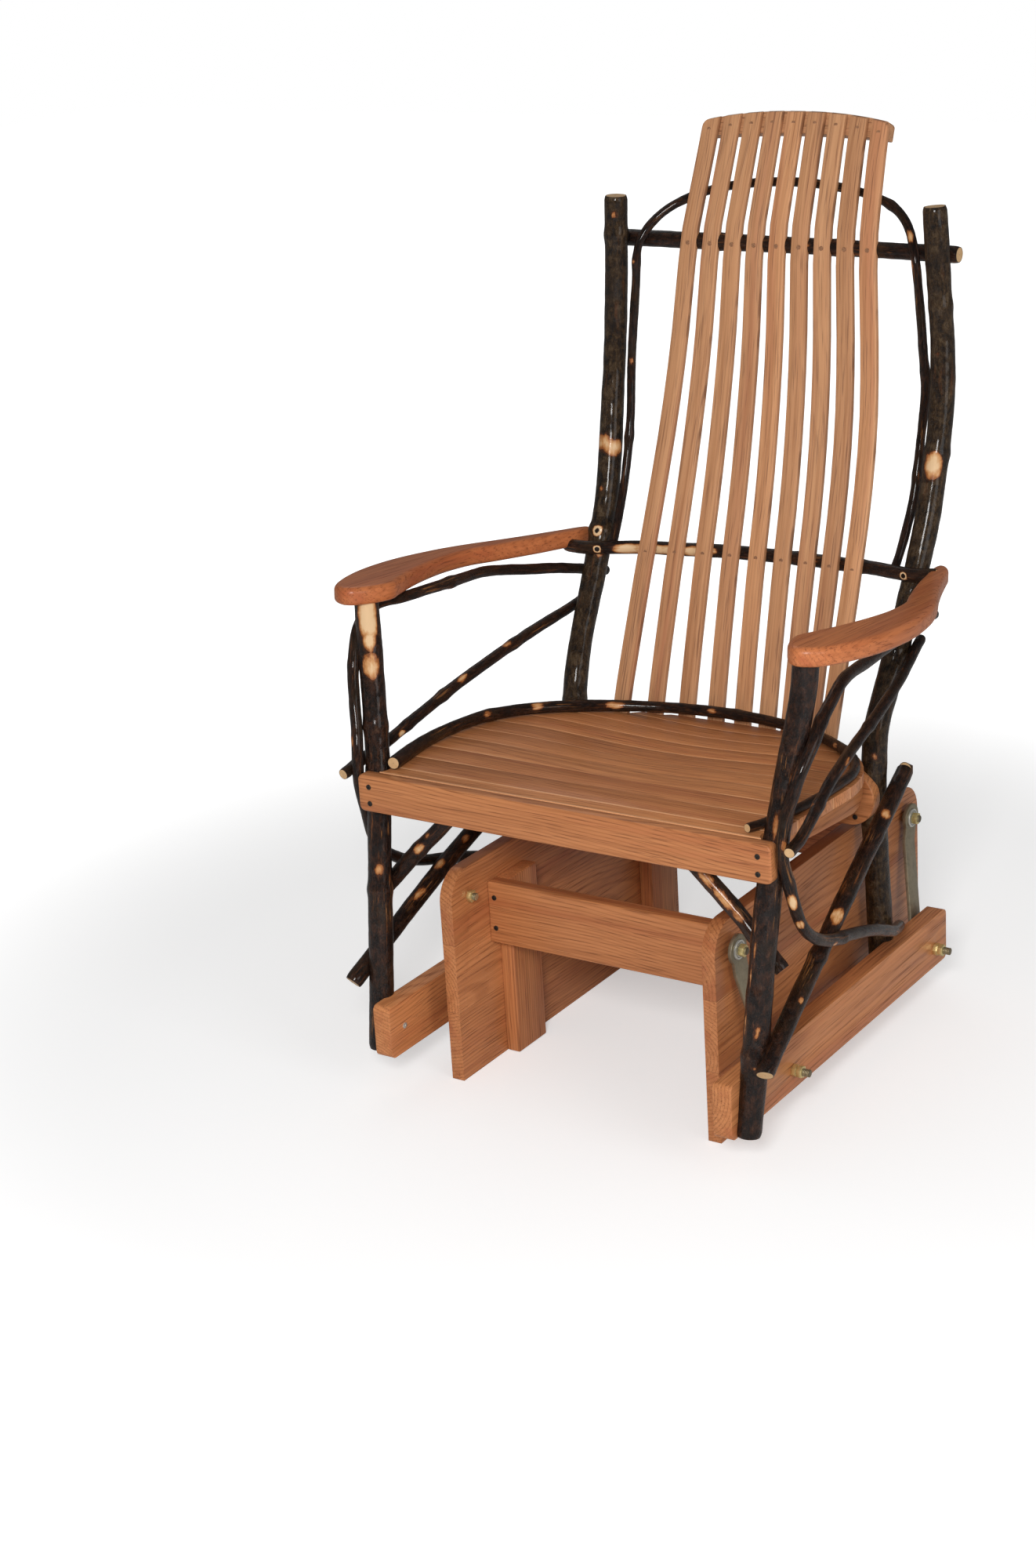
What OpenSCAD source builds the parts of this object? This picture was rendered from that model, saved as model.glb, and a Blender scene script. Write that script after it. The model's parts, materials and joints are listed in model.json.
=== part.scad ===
// Glider rocker: a chair of oak slats and hickory sticks, hung by four steel links in an oak base.
// X runs across the chair, +Y to the back, +Z up, in millimetres. The base stands on z = 0.
// Points are written in a frame whose y = 0 is the front face of the seat apron; placed()
// then moves the whole chair so that its origin is the middle of its footprint.

/* [Base] */
// Distance between the two base side panels
base_gap = 376; // [360:1:384]
// Thickness of a base side panel
panel_t = 19; // [16:1:20]
// Distance from each upper pivot to the panel's edges, also its corner radius
panel_edge = 41; // [34:1:44]
// Height of the base cross rails
base_rail_h = 88; // [60:1:100]
// Thickness of the base cross rails
base_rail_t = 22; // [16:1:28]
// Height of the cross rails' lower edge above the floor
base_rail_z = 171; // [150:1:180]
// Distance from the front upper pivot back to the front cross rail
front_rail_in = 42; // [36:1:60]
// Distance from the rear upper pivot forward to the back of the rear cross rail
rear_rail_out = 23; // [12:1:24]
// Width of a corner cleat, front to back
cleat_w = 68; // [40:1:80]
// Thickness of a corner cleat
cleat_t = 21; // [15:1:30]
// Height of a corner cleat
cleat_h = 258; // [230:1:262]

/* [Swing links] */
// Distance between the front and rear upper pivots
pivot_top_gap = 496; // [485:1:510]
// Distance between the front and rear lower pivots
pivot_low_gap = 418; // [405:1:430]
// Distance between a link's two pivots
link_len = 177; // [170:1:185]
// Height of the lower pivots above the floor
pivot_low_z = 82; // [79:1:92]
// Width of a link's bar
link_w = 30; // [22:1:34]
// Thickness of a link's plate
link_t = 5; // [3:0.5:7]
// How far a link's plate steps outwards between its two pivots
link_step = 20; // [12:1:22]
// Distance from each pivot to the start of the step
link_bend = 32; // [26:1:50]
// Radius of a link's round ends
link_head_r = 20; // [18:0.5:22]
// Outer radius of a link's bearing
bearing_r = 13; // [12:0.5:15]
// Width of a link's bearing
bearing_w = 9; // [7:0.5:10]
// Radius of the pivot bolts
bolt_r = 5; // [4:0.5:5.5]
// Radius of the widened bore at the rear links' lower ends
open_bore_r = 7.8; // [7.6:0.1:9]

/* [Side boards and apron] */
// Distance between the hanging side boards
board_gap = 487; // [484:1:500]
// Thickness of a side board
board_t = 26; // [20:1:30]
// Height of a side board
board_h = 74; // [60:1:84]
// Length of a side board
board_len = 617; // [590:1:640]
// Height of the side boards' lower edge above the floor
board_z = 55; // [45:1:60]
// Length of the seat apron
apron_len = 610; // [600:1:630]
// Height of the seat apron
apron_h = 51; // [40:1:60]
// Thickness of the seat apron
apron_t = 19; // [15:1:22]
// Height of the seat's front edge above the floor
seat_h = 432; // [420:1:445]

/* [Seat] */
// How much lower the seat is at its back than at its front
seat_drop = 32; // [10:1:40]
// Depth of the hollow across the seat's middle
seat_dish = 8; // [2:1:12]
// How far the seat's sides lie in from the apron's ends
seat_in = 12; // [8:1:20]
// Depth of the seat, apron to back edge
seat_depth = 471; // [455:1:474]
// Width of a seat slat
seat_slat_w = 47; // [30:1:60]
// Gap between seat slats
seat_slat_gap = 0.8; // [0.4:0.1:4]
// Thickness of a seat slat
seat_slat_t = 15; // [10:1:18]
// Distance between the seat's side rails
seat_rail_gap = 426; // [400:1:432]
// Thickness of the side rails
seat_rail_t = 22; // [16:1:26]
// Thickness of the rear seat board
rear_board_t = 20; // [16:1:24]
// Height of the rear seat board
rear_board_h = 78; // [60:1:84]
// Length of the rear seat board
rear_board_len = 498; // [488:1:510]
// Radius of the rim stick at its thick end
rim_r = 9; // [7:0.5:10]

/* [Back] */
// Height of the whole chair
chair_h = 1194; // [1180:1:1210]
// Number of back slats
back_slats = 9; // [5:2:11]
// Width of a back slat
back_slat_w = 24; // [18:1:26]
// Thickness of a back slat
back_slat_t = 9; // [7:0.5:10]
// Half the back's width at the seat, to the outer slats' outer edges
back_low_w = 173.5; // [165:0.5:180]
// Half the back's width at the crest
back_top_w = 138.5; // [130:0.5:150]
// How far the back slats' middle lies behind the outer ones at the seat
back_bow = 62; // [50:1:66]
// Thickness of the crest rail
crest_t = 19; // [12:1:22]
// Height of the crest rail in its middle
crest_h = 26; // [22:1:40]
// How much lower the crest is at its ends
crest_arch = 12; // [5:1:16]
// Radius of the upper cross stick
upper_stick_r = 11.5; // [9:0.5:13]
// Radius of the middle cross stick
middle_stick_r = 9.5; // [8:0.5:10.5]
// Radius of the hoop stick
hoop_r = 5.5; // [4:0.5:6]

/* [Legs and sticks] */
// Radius of a front leg
leg_r = 16.5; // [14:0.5:18]
// Radius of a rear post
post_r = 17; // [14:0.5:18]
// Height of the rear posts
post_h = 1088; // [1075:1:1100]
// Depth of the flat that seats a leg or post on its board
flat_depth = 7; // [4:0.5:8]
// Radius of a heavy diagonal brace
brace_r = 12; // [9:0.5:13]
// Radius of a knee brace
knee_r = 10.5; // [8:0.5:11]
// Radius of the bent stick at each side
bow_r = 8; // [6:0.5:9]
// Radius of the thin diagonal sticks
twig_r = 7; // [5:0.5:7.5]

/* [Arms] */
// Height of an arm's top above the seat's front edge, at the front leg
arm_rise = 237; // [223:1:253]
// Thickness of an arm
arm_t = 24; // [20:1:28]
// Slope of an arm down to the back, in degrees
arm_slope = 4.8; // [3:0.1:6]

/* [Hidden] */
$fn = 40;
fit = 0.05;          // radial running clearance of a bolt
seat_gap = 0.2;      // gap between a stick and the oak cut to fit it
oak = "#c88a5c";
bark = "#2b1d16";
steel = "#9b9a92";
zinc = "#c9b667";
dark = "#3a332d";

// Pivots, as [y, z]
pivot_mid = 317;
link_drop = sqrt(pow(link_len, 2) - pow((pivot_top_gap - pivot_low_gap) / 2, 2));
pivot_top_z = pivot_low_z + link_drop;
front_top = [pivot_mid - pivot_top_gap / 2, pivot_top_z];
rear_top = [pivot_mid + pivot_top_gap / 2, pivot_top_z];
front_low = [pivot_mid - pivot_low_gap / 2, pivot_low_z];
rear_low = [pivot_mid + pivot_low_gap / 2, pivot_low_z];

// Places across the chair
panel_in = base_gap / 2;
panel_out = panel_in + panel_t;
board_in = board_gap / 2;
board_out = board_in + board_t;
link_mid_x = (panel_out + board_in) / 2 + 0.75;
link_top_x = link_mid_x - link_step / 2;
link_low_x = link_mid_x + link_step / 2;

// Places along the chair
board_front = -53;
panel_front = front_top[0] - panel_edge;
panel_back = rear_top[0] + panel_edge;
front_rail_y = front_top[0] + front_rail_in;
rear_rail_y = rear_top[0] + rear_rail_out - base_rail_t;
rear_board_y = 387;
post_y = rear_board_y + rear_board_t + post_r - 7;
post_foot = board_in - post_r + 6.5;
arm_h = seat_h + arm_rise;
board_mid_z = board_z + board_h / 2;

// A point of a smooth curve through the points p, with u from 0 to the last point's index
function curve(p, u) =
    let (n = len(p) - 1, i = min(floor(u), n - 1), t = u - i,
         a = p[max(i - 1, 0)], b = p[i], c = p[i + 1], d = p[min(i + 2, n)])
    0.5 * (2 * b + (c - a) * t + (2 * a - 5 * b + 4 * c - d) * t * t
        + (3 * b - a - 3 * c + d) * t * t * t);
function smooth(p, per = 3) =
    let (n = (len(p) - 1) * per) [for (i = [0 : n]) curve(p, i / per)];
// The x and y of a stick's axis where it passes the height z
function axis_x(p, z) = lookup(z, [for (q = smooth(p, 4)) [q[2], q[0]]]);
function axis_y(p, z) = lookup(z, [for (q = smooth(p, 4)) [q[2], q[1]]]);
function axis_w(p, z) = lookup(z, [for (q = smooth(p, 4)) [q[2], q[3]]]);
function unit(v) = v / norm(v);
function flip(p) = [for (q = p) [-q[0], q[1], q[2]]];

// A round stick along the points p, whose radius goes from r0 to r1
module stick(p, r0, r1, sides = 12, per = 3) {
    pts = smooth(p, per);
    n = len(pts) - 1;
    points = [for (i = [0 : n])
        let (t = unit(pts[min(i + 1, n)] - pts[max(i - 1, 0)]),
             h = abs(t[0]) > 0.8 ? [0, 0, 1] : [1, 0, 0],
             u = unit(cross(t, h)), v = cross(t, u),
             r = r0 + (r1 - r0) * i / n)
        for (k = [0 : sides - 1])
            pts[i] + r * (u * cos(360 * k / sides) + v * sin(360 * k / sides))];
    faces = concat(
        [[for (k = [0 : sides - 1]) k]],
        [for (i = [0 : n - 1], k = [0 : sides - 1])
            let (a = i * sides + k, b = i * sides + (k + 1) % sides)
            each [[a, a + sides, b + sides], [a, b + sides, b]]],
        [[for (k = [sides - 1 : -1 : 0]) n * sides + k]]);
    polyhedron(points, faces);
}

// A flat strip along the points p, w wide along X and t thick, its top cut along the crest's arch
module strip(p, w, t) {
    n = len(p) - 1;
    points = [for (i = [0 : n])
        let (d = p[min(i + 1, n)] - p[max(i - 1, 0)], m = [0, norm(d) / d[2], 0])
        for (c = [[-1, -1], [1, -1], [1, 1], [-1, 1]])
            let (q = p[i] + [c[0] * w / 2, 0, 0] + m * c[1] * t / 2, up = crest_z(q[0]) - q[2])
            i < n ? q : q + [0, up * tan(crest_tilt), up]];
    faces = concat([[0, 1, 2, 3]],
        [for (i = [0 : n - 1], k = [0 : 3])
            let (a = i * 4 + k, b = i * 4 + (k + 1) % 4)
            each [[a, a + 4, b + 4], [a, b + 4, b]]],
        [[n * 4 + 3, n * 4 + 2, n * 4 + 1, n * 4]]);
    polyhedron(points, faces);
}

module placed() translate([0, -(board_front + crest_back) / 2, 0]) children();
module side(s) mirror([s < 0 ? 1 : 0, 0, 0]) children();
// A cylinder along X from x0 to x1 at [y, z]
module rod_x(x0, x1, at, r)
    translate([x0, at[0], at[1]]) rotate([0, 90, 0]) cylinder(h = x1 - x0, r = r);
// A six-sided nut along X
module nut_x(x0, x1, at, r)
    translate([x0, at[0], at[1]]) rotate([0, 90, 0]) cylinder(h = x1 - x0, r = r, $fn = 6);
// A cube from the corner a to the corner b
module block(a, b) translate(a) cube(b - a);

// Base

module base_panel(s) color(oak) placed() side(s)
    difference() {
        union() {
            block([panel_in, panel_front, 0], [panel_out, panel_back, pivot_top_z]);
            block([panel_in, front_top[0], 0], [panel_out, rear_top[0], pivot_top_z + panel_edge]);
            rod_x(panel_in, panel_out, front_top, panel_edge);
            rod_x(panel_in, panel_out, rear_top, panel_edge);
        }
        for (at = [front_top, rear_top]) rod_x(panel_in - 1, panel_out + 1, at, bolt_r + fit);
    }

module base_rail(y) color(oak) placed()
    block([-panel_in, y, base_rail_z], [panel_in, y + base_rail_t, base_rail_z + base_rail_h]);

module base_cleats() color(oak) placed()
    for (s = [-1, 1], y = [front_rail_y + base_rail_t, rear_rail_y - cleat_w])
        side(s) block([panel_in - cleat_t, y, 0.5], [panel_in, y + cleat_w, cleat_h]);

module base_screws() color(dark) placed()
    for (s = [-1, 1], z = [0.25, 0.75], y = [front_rail_y, rear_rail_y + base_rail_t + 1])
        translate([s * (panel_in - cleat_t / 2), y, base_rail_z + base_rail_h * z])
            rotate([90, 0, 0]) cylinder(h = 1, r = 3.5);

module upper_pivot_bolts() color(steel) placed()
    for (s = [-1, 1], at = [front_top, rear_top]) side(s) {
        rod_x(panel_in + (at == front_top ? -12 : 1), link_top_x + bearing_w / 2 + 10, at, bolt_r);
        rod_x(panel_out, link_top_x - bearing_w / 2 - 0.3, at, bolt_r + 2.5);
    }

// The rear pivots have no inner nut, because the rear cleat covers the place
module upper_pivot_nuts() color(zinc) placed()
    for (s = [-1, 1], p = [[panel_in - 7, front_top], [link_top_x + bearing_w / 2 + 0.3, front_top],
        [link_top_x + bearing_w / 2 + 0.3, rear_top]]) side(s) difference() {
            nut_x(p[0], p[0] + 7, p[1], bolt_r * 1.75);
            rod_x(p[0] - 1, p[0] + 8, p[1], bolt_r);
        }

// Swing links

// The link's outline, from its upper pivot down
module link_outline() {
    circle(r = link_head_r);
    translate([0, -link_len]) circle(r = link_head_r);
    translate([-link_w / 2, -link_len]) square([link_w, link_len]);
}

// The stepped plate seen edge on: x outwards, y up from the upper pivot
link_end = link_head_r + 5;
link_profile = [[-link_t / 2, link_end], [link_t / 2, link_end], [link_t / 2, -link_bend],
    [link_step + link_t / 2, link_bend - link_len], [link_step + link_t / 2, -link_len - link_end],
    [link_step - link_t / 2, -link_len - link_end], [link_step - link_t / 2, link_bend - link_len],
    [-link_t / 2, -link_bend]];

module link_plate(s, top, low) color(steel) placed() side(s) difference() {
    translate([link_top_x, top[0], top[1]]) rotate([atan2(top[0] - low[0], low[1] - top[1]) + 180, 0, 0])
        intersection() {
            translate([-link_t, 0, 0]) rotate([90, 0, 90])
                linear_extrude(link_step + 2 * link_t) link_outline();
            translate([0, link_end, 0]) rotate([90, 0, 0])
                linear_extrude(2 * link_end) polygon(link_profile);
        }
    rod_x(link_top_x - link_t, link_top_x + link_t, top, bearing_r);
    rod_x(link_low_x - link_t, link_low_x + link_t, low, bearing_r);
}

module bearings(s, top, low, low_bore) color(steel) placed() side(s)
    for (b = [[link_top_x, top, bolt_r + fit], [link_low_x, low, low_bore]]) difference() {
        rod_x(b[0] - bearing_w / 2, b[0] + bearing_w / 2, b[1], bearing_r);
        rod_x(b[0] - bearing_w, b[0] + bearing_w, b[1], b[2]);
    }

// Chair frame

module side_board(s) color(oak) placed() side(s) difference() {
    block([board_in, board_front, board_z], [board_out, board_front + board_len, board_z + board_h]);
    for (at = [front_low, rear_low]) rod_x(board_in - 1, board_out + 1, at, bolt_r + fit);
}

module lower_pivot_bolts() color(steel) placed()
    for (s = [-1, 1], at = [front_low, rear_low]) side(s) {
        rod_x(link_low_x - bearing_w / 2 - 4, board_out + 24, at, bolt_r);
        rod_x(link_low_x - bearing_w / 2 - 6, link_low_x - bearing_w / 2 - 0.3, at, open_bore_r + 2);
        rod_x(link_low_x + bearing_w / 2 + 0.3, board_in, at, bolt_r + 3);
    }

module lower_pivot_nuts() color(zinc) placed()
    for (s = [-1, 1], at = [front_low, rear_low], k = [0, 1]) side(s) difference() {
        nut_x(board_out + k * 7.2, board_out + k * 7.2 + 7, at, bolt_r * 1.75);
        rod_x(board_out - 1, board_out + 16, at, bolt_r);
    }

// Axis of the right front leg, foot to arm
leg_foot = [board_out + leg_r - flat_depth, board_front + 24];
leg_seat = [apron_len / 2 - 12, apron_t + leg_r - 6];
leg_top = [leg_seat[0] + 28, leg_seat[1] + 42];
leg_pts = [[leg_foot[0], leg_foot[1], board_z], [leg_foot[0] + 3, leg_foot[1] + 16, board_z + 95],
    [leg_foot[0] + 8, leg_foot[1] + 39, seat_h - 130], [leg_seat[0], leg_seat[1], seat_h - 25],
    [leg_seat[0] + 11, leg_seat[1] + 19, seat_h + 70], [leg_top[0] - 4, leg_top[1] - 5, seat_h + 165],
    [leg_top[0], leg_top[1], arm_h - arm_t + 6]];

module front_leg(s) color(bark) placed() side(s) difference() {
    leg_body();
    block([board_in, board_front - 30, 0], [board_out, 200, board_z + board_h]);
    block([-apron_len / 2, -30, seat_h - apron_h], [apron_len / 2, apron_t, seat_h]);
    arm_body(20);
}

// Axis of the right rear post, foot to top
post_pts = [[post_foot, post_y + 21, board_z + 3], [post_foot, post_y + 12, board_z + 135],
    [post_foot, post_y + 1.5, seat_h - 112], [post_foot + 1, post_y + 2, seat_h - 47],
    [post_foot + 2, post_y + 12, seat_h + 8], [post_foot + 7, post_y + 43, seat_h + 68],
    [post_foot + 11, post_y + 101, seat_h + 168], [post_foot + 15, post_y + 143, seat_h + 258],
    [post_foot + 19, post_y + 172, seat_h + 368], [post_foot + 18, post_y + 186, seat_h + 458],
    [post_foot + 12, post_y + 188, seat_h + 558], [post_foot + 7, post_y + 187, post_h]];

module leg_body() stick(leg_pts, leg_r, leg_r - 0.5, 14, 2);
module post_body() stick(post_pts, post_r + 0.5, post_r - 1, 14, 2);
module brace_body() stick(brace_pts, brace_r, brace_r - 0.5, 12, 2);

module rear_post(s) color(bark) placed() side(s) difference() {
    post_body();
    block([board_in, 0, 0], [board_out + 40, 800, board_z + board_h + 0.1]);
    rear_board_body();
}

// A heavy brace outside the leg and the post
brace_pts = [[leg_foot[0] + 31, board_front + 14, board_mid_z + 57],
    [leg_foot[0] + 27, leg_foot[1] + 21, board_mid_z + 74],
    [leg_foot[0] + 10, leg_foot[1] + 224, board_mid_z + 170],
    [post_foot + 31, post_y + 15, seat_h - 74], [post_foot + 28, post_y + 40, seat_h - 63]];

module diagonal_brace(s) color(bark) placed() side(s) difference() {
    brace_body();
    leg_body();
    post_body();
}

// A short brace from behind the leg up to the back of the apron
knee_y = apron_t + 12;
apron_low = seat_h - apron_h;
knee_pts = [[leg_foot[0] + 21, knee_y, apron_low - 123], [leg_foot[0], knee_y, apron_low - 101],
    [leg_foot[0] - 37, knee_y + 1, apron_low - 61], [leg_foot[0] - 78, knee_y, apron_low - 21],
    [leg_foot[0] - 109, knee_y - 3, apron_low + 11]];

module knee_brace(s) color(bark) placed() side(s) difference() {
    stick(knee_pts, knee_r, knee_r, 12, 2);
    leg_body();
    block([0, -30, seat_h - apron_h], [apron_len / 2, apron_t + 0.1, seat_h]);
}

// Arms: the outline is in the arm's own plane, x across and y back from the front leg's top.
// Behind the leg its points shift across with the post, so that the arm always ends beside it.
arm_skew = (post_foot + 88 - leg_top[0]) / 478;
function arm_shift(y) = arm_skew * max(0, y - leg_top[1]);
function arm_z(y) = arm_h - tan(arm_slope) * (y - leg_top[1]);
arm_pts = [[14, -36], [35, -20], [53, 24], [65, 84], [66, 154], [55, 224], [39, 278], [14, 338],
    [-5, 388], [-21, 434], [-33, 468], [-43, 478], [-53, 473], [-51, 448], [-42, 414], [-31, 368],
    [-9, 296], [5, 254], [9, 204], [5, 158], [-5, 104], [-19, 54], [-27, 28], [-25, 8], [-16, -16],
    [-3, -33], [14, -36]];
arm_outline = [for (q = smooth(arm_pts, 2)) [q[0] + arm_skew * max(0, q[1]), q[1]]];

module arm_body(up = 0) translate([leg_top[0], leg_top[1], arm_h]) rotate([-arm_slope, 0, 0])
    translate([0, 0, -arm_t]) linear_extrude(arm_t + up) polygon(arm_outline);

module arm(s) color(oak) placed() side(s) arm_body();

// The bent stick at each side: from the post forward, up outside the leg and back under the arm.
// The left one rises to the arm, the right one stays lower.
bow_low = [[post_foot + 26, post_y + 22, board_mid_z + 58], [leg_foot[0] + 6, post_y - 52, board_mid_z + 84],
    [leg_foot[0] + 20, 283, board_mid_z + 120], [leg_foot[0] + 29, 205, board_mid_z + 147],
    [leg_foot[0] + 35, 133, board_mid_z + 168], [leg_foot[0] + 38, 80, board_mid_z + 194],
    [leg_foot[0] + 39, 44, board_mid_z + 230], [leg_seat[0] + 22, 24, seat_h - 52],
    [leg_seat[0] + 20, 14, seat_h - 13], [leg_seat[0] + 22, 19, seat_h + 27],
    [leg_seat[0] + 28, 29, seat_h + 55], [leg_seat[0] + 35, 38, seat_h + 85]];
// Points under the arm, as [x from the leg's top, y, depth under the arm's lower face]
bow_high_left = concat([for (q = [[12, 48, 86], [17, 72, 38], [11, 104, 13], [-3, 150, bow_r + 1],
        [-7, 240, bow_r], [-7, 325, bow_r], [-15, 370, bow_r + 4], [-29, 410, bow_r + 9],
        [-43, 455, bow_r + 14]])
        [leg_top[0] + q[0] + arm_shift(q[1]), q[1], arm_z(q[1]) - arm_t - q[2]]],
    [[post_foot + 35, post_y + 93, arm_h - 93], [post_foot + 30, post_y + 150, arm_h - 110]]);
// Points beside the arm, as [x from the leg's top, y, depth under the arm's front]
bow_high_right = concat([for (q = [[13, 60, 123], [12, 83, 102], [7, 124, 86], [1, 170, 75], [-8, 253, 79],
        [-25, 379, 87], [-40, 440, 92]]) [leg_top[0] + q[0] + arm_shift(q[1]), q[1], arm_h - q[2]]],
    [[post_foot + 34.5, post_y + 84, arm_h - 99], [post_foot + 30, post_y + 128, arm_h - 109]]);
function bow_pts(s) = concat(bow_low, s < 0 ? bow_high_left : bow_high_right);
module bow_body(s) stick(bow_pts(s), bow_r, bow_r - 0.5, 10, 2);

module side_bow(s) color(bark) placed() side(s) difference() {
    bow_body(s);
    leg_body();
    brace_body();
    post_body();
    arm_body();
}

// The thin diagonal from outside the bent stick up to the post
twig_pts = concat([for (q = [[36, 2, -5], [35, 13, -3], [34, 38, 2], [25, 92, 15], [16, 150, 32],
        [9, 225, 50], [1, 310, 66], [-10, 395, 82]])
        [leg_seat[0] + q[0] + arm_shift(q[1]), q[1], seat_h + q[2]]],
    [[post_foot + 33.5, post_y + 61, seat_h + 98], [post_foot + 29, post_y + 90, seat_h + 105]]);

module side_twig(s) color(bark) placed() side(s) difference() {
    stick(twig_pts, twig_r, twig_r - 0.5, 10, 2);
    bow_body(s);
    post_body();
}

// Seat

seat_half_w = apron_len / 2 - seat_in;
seat_back = seat_depth;
seat_turn = 220;     // y where the straight sides end and the round back begins
function seat_z(y) = seat_h - seat_drop * pow(y / seat_depth, 2);
function dish_at(y) = seat_dish * min(1, max(0, (y - 60) / 170));
rear_board_top = seat_z(rear_board_y + rear_board_t) - seat_slat_t - seat_dish - 1;
rear_board_z = rear_board_top - rear_board_h;
seat_cut_z = seat_z(seat_back) - seat_slat_t - seat_dish;
seat_outline = concat([[seat_half_w, apron_t + 0.3]],
    [for (a = [0 : 5 : 180]) [seat_half_w * cos(a), seat_turn + (seat_back - seat_turn) * sin(a)]],
    [[-seat_half_w, apron_t + 0.3]]);

module seat_apron() color(oak) placed()
    block([-apron_len / 2, 0, seat_h - apron_h], [apron_len / 2, apron_t, seat_h]);

// One seat slat's cross profile: level at the sides, hollow in the middle
function hollow(x) = pow(cos(90 * min(1, abs(x) / (seat_half_w - 63))), 2);
module slat_profile(dish) let (half = seat_half_w + 7) polygon(concat(
    [for (k = [-10 : 10]) [k * half / 10, -dish * hollow(k * half / 10)]],
    [for (k = [10 : -1 : -10]) [k * half / 10, -seat_slat_t - dish * hollow(k * half / 10)]]));

// The slats behind the apron; the first fills the strip up to the even pitch
slat_edges = concat([apron_t + 0.3], [for (y = [apron_t + 24 : seat_slat_w + seat_slat_gap : seat_back]) y]);

// The space behind the back slats' front faces, which the seat slats keep clear of
function behind_back() = concat([[-back_low_w - 0.5, 700]],
    [for (i = [1 : back_slats], e = [-0.5, 0.5]) let (x = slat_x(i, seat_h - 42))
        [x + e * (back_slat_w + 1), slat_y(x, seat_cut_z) - back_slat_t * 0.6]],
    [[back_low_w + 0.5, 700]]);

module seat_slats() color(oak) placed() intersection() {
    translate([0, 0, seat_h - 120]) linear_extrude(150) polygon(seat_outline);
    difference() {
        for (i = [0 : len(slat_edges) - 1]) {
            y0 = slat_edges[i];
            y1 = (i < len(slat_edges) - 1 ? slat_edges[i + 1] : seat_back + 5) - seat_slat_gap;
            ym = (y0 + y1) / 2;
            slope = atan((seat_z(y0) - seat_z(y1)) / (y1 - y0));
            translate([0, ym, seat_z(ym)]) rotate([90 - slope, 0, 0])
                linear_extrude(y1 - y0, center = true) slat_profile(dish_at(ym));
        }
        for (s = [-1, 1])
            translate([s * axis_x(leg_pts, seat_h - 8), axis_y(leg_pts, seat_h - 8), seat_h - 60])
                cylinder(h = 90, r = leg_r + 2);
        translate([0, 0, seat_h - 120]) linear_extrude(150) polygon(behind_back());
    }
}

// A side rail: its top follows the slats, its lower edge falls to the rear board
rail_low = seat_h - 96;
module seat_rail(s) color(oak) placed() side(s)
    translate([seat_rail_gap / 2, 0, 0]) rotate([90, 0, 90]) linear_extrude(seat_rail_t)
        polygon(concat([[apron_t, seat_h - apron_h], [apron_t + 130, rail_low + 20], [250, rail_low + 9],
            [rear_board_y - 30, rail_low]],
            [for (a = [15 : 15 : 75]) [rear_board_y - 30 + 30 * sin(a), rail_low + 30 - 30 * cos(a)]],
            [[rear_board_y, rail_low + 30]],
            [for (y = [rear_board_y, 350, 310, 270, 230, 190, 150, 110, 70, apron_t])
                [y, seat_z(y) - seat_slat_t - 0.7]]));

// The rear board has round ends and lies across the posts
module rear_board_body() translate([0, rear_board_y + rear_board_t, rear_board_z + rear_board_h / 2])
    rotate([90, 0, 0]) linear_extrude(rear_board_t) {
        square([rear_board_len - rear_board_h, rear_board_h], center = true);
        for (s = [-1, 1]) translate([s * (rear_board_len - rear_board_h) / 2, 0])
            circle(r = rear_board_h / 2, $fn = 60);
    }

// A crescent on the rear board's back carries the back slats
module rear_seat_board() color(oak) placed() {
    rear_board_body();
    translate([0, 0, rear_board_top - 40]) linear_extrude(32) polygon(concat(
        [for (x = [-back_low_w - 6, back_low_w + 6]) [x, rear_board_y + rear_board_t - 1]],
        [for (i = [back_slats : -1 : 1], e = [0.5, -0.5])
            [slat_x(i, slat_foot_z) + e * back_slat_w,
                slat_y(slat_x(i, slat_foot_z), slat_foot_z) - back_slat_t / 2 - seat_gap]]));
}

// The bent stick on the seat's edge, from the left front round to the right front
function rim_at(a, r) = let (x = (seat_half_w - 9) * cos(a),
        y = seat_turn + (seat_back - seat_turn - 9) * sin(a) - 9 * pow(sin(2 * a), 2))
    [x, y, seat_z(y) + r + 0.7];
rim_pts = concat([[-seat_half_w + 25, 32, seat_z(32) + rim_r + 0.6],
    [-seat_half_w + 9, 130, seat_z(130) + rim_r + 0.4]],
    [for (a = [180 : -15 : 0]) rim_at(a, rim_r - 3 + 3 * pow(a / 180, 2))],
    [[seat_half_w - 9, 130, seat_z(130) + rim_r - 2.4], [seat_half_w - 22, 60, seat_z(60) + rim_r - 2.4],
     [seat_half_w - 32, 24, seat_h + rim_r - 1]]);

module seat_rim() color(bark) placed() stick(rim_pts, rim_r, rim_r - 3, 10, 2);

// Back

slat_foot_z = rear_board_top - 38;
// The outer slats side on, as [share of the narrowing, y, z, share of the back's bow]
function back_z(t) = seat_h + t * (chair_h - seat_h);
edge_pts = [[0, rear_board_y + rear_board_t + 10, slat_foot_z, 1], [0, 424, seat_h - 40, 1],
    [0, 446, seat_h + 18, 0.86], [0.01, 466, back_z(0.089), 0.73], [0.04, 507, back_z(0.22), 0.48],
    [0.12, 547, back_z(0.352), 0.31], [0.26, 580, back_z(0.483), 0.15], [0.47, 601, back_z(0.614), 0.1],
    [0.68, 616, back_z(0.745), 0.03], [0.77, 628, back_z(0.811), 0], [0.865, 648, back_z(0.877), 0],
    [0.94, 668, back_z(0.942), 0], [1, 691, back_z(1.014), 0]];
function edge_y(z) = axis_y(edge_pts, z);
function bow_at(z) = back_bow * axis_w(edge_pts, z);
function slat_half(z) = back_low_w - (back_low_w - back_top_w) * axis_x(edge_pts, z) - back_slat_w / 2;
function slat_y(x, z) = edge_y(z) + bow_at(z) * (1 - pow(x / (back_low_w - back_slat_w / 2), 2));
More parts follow.
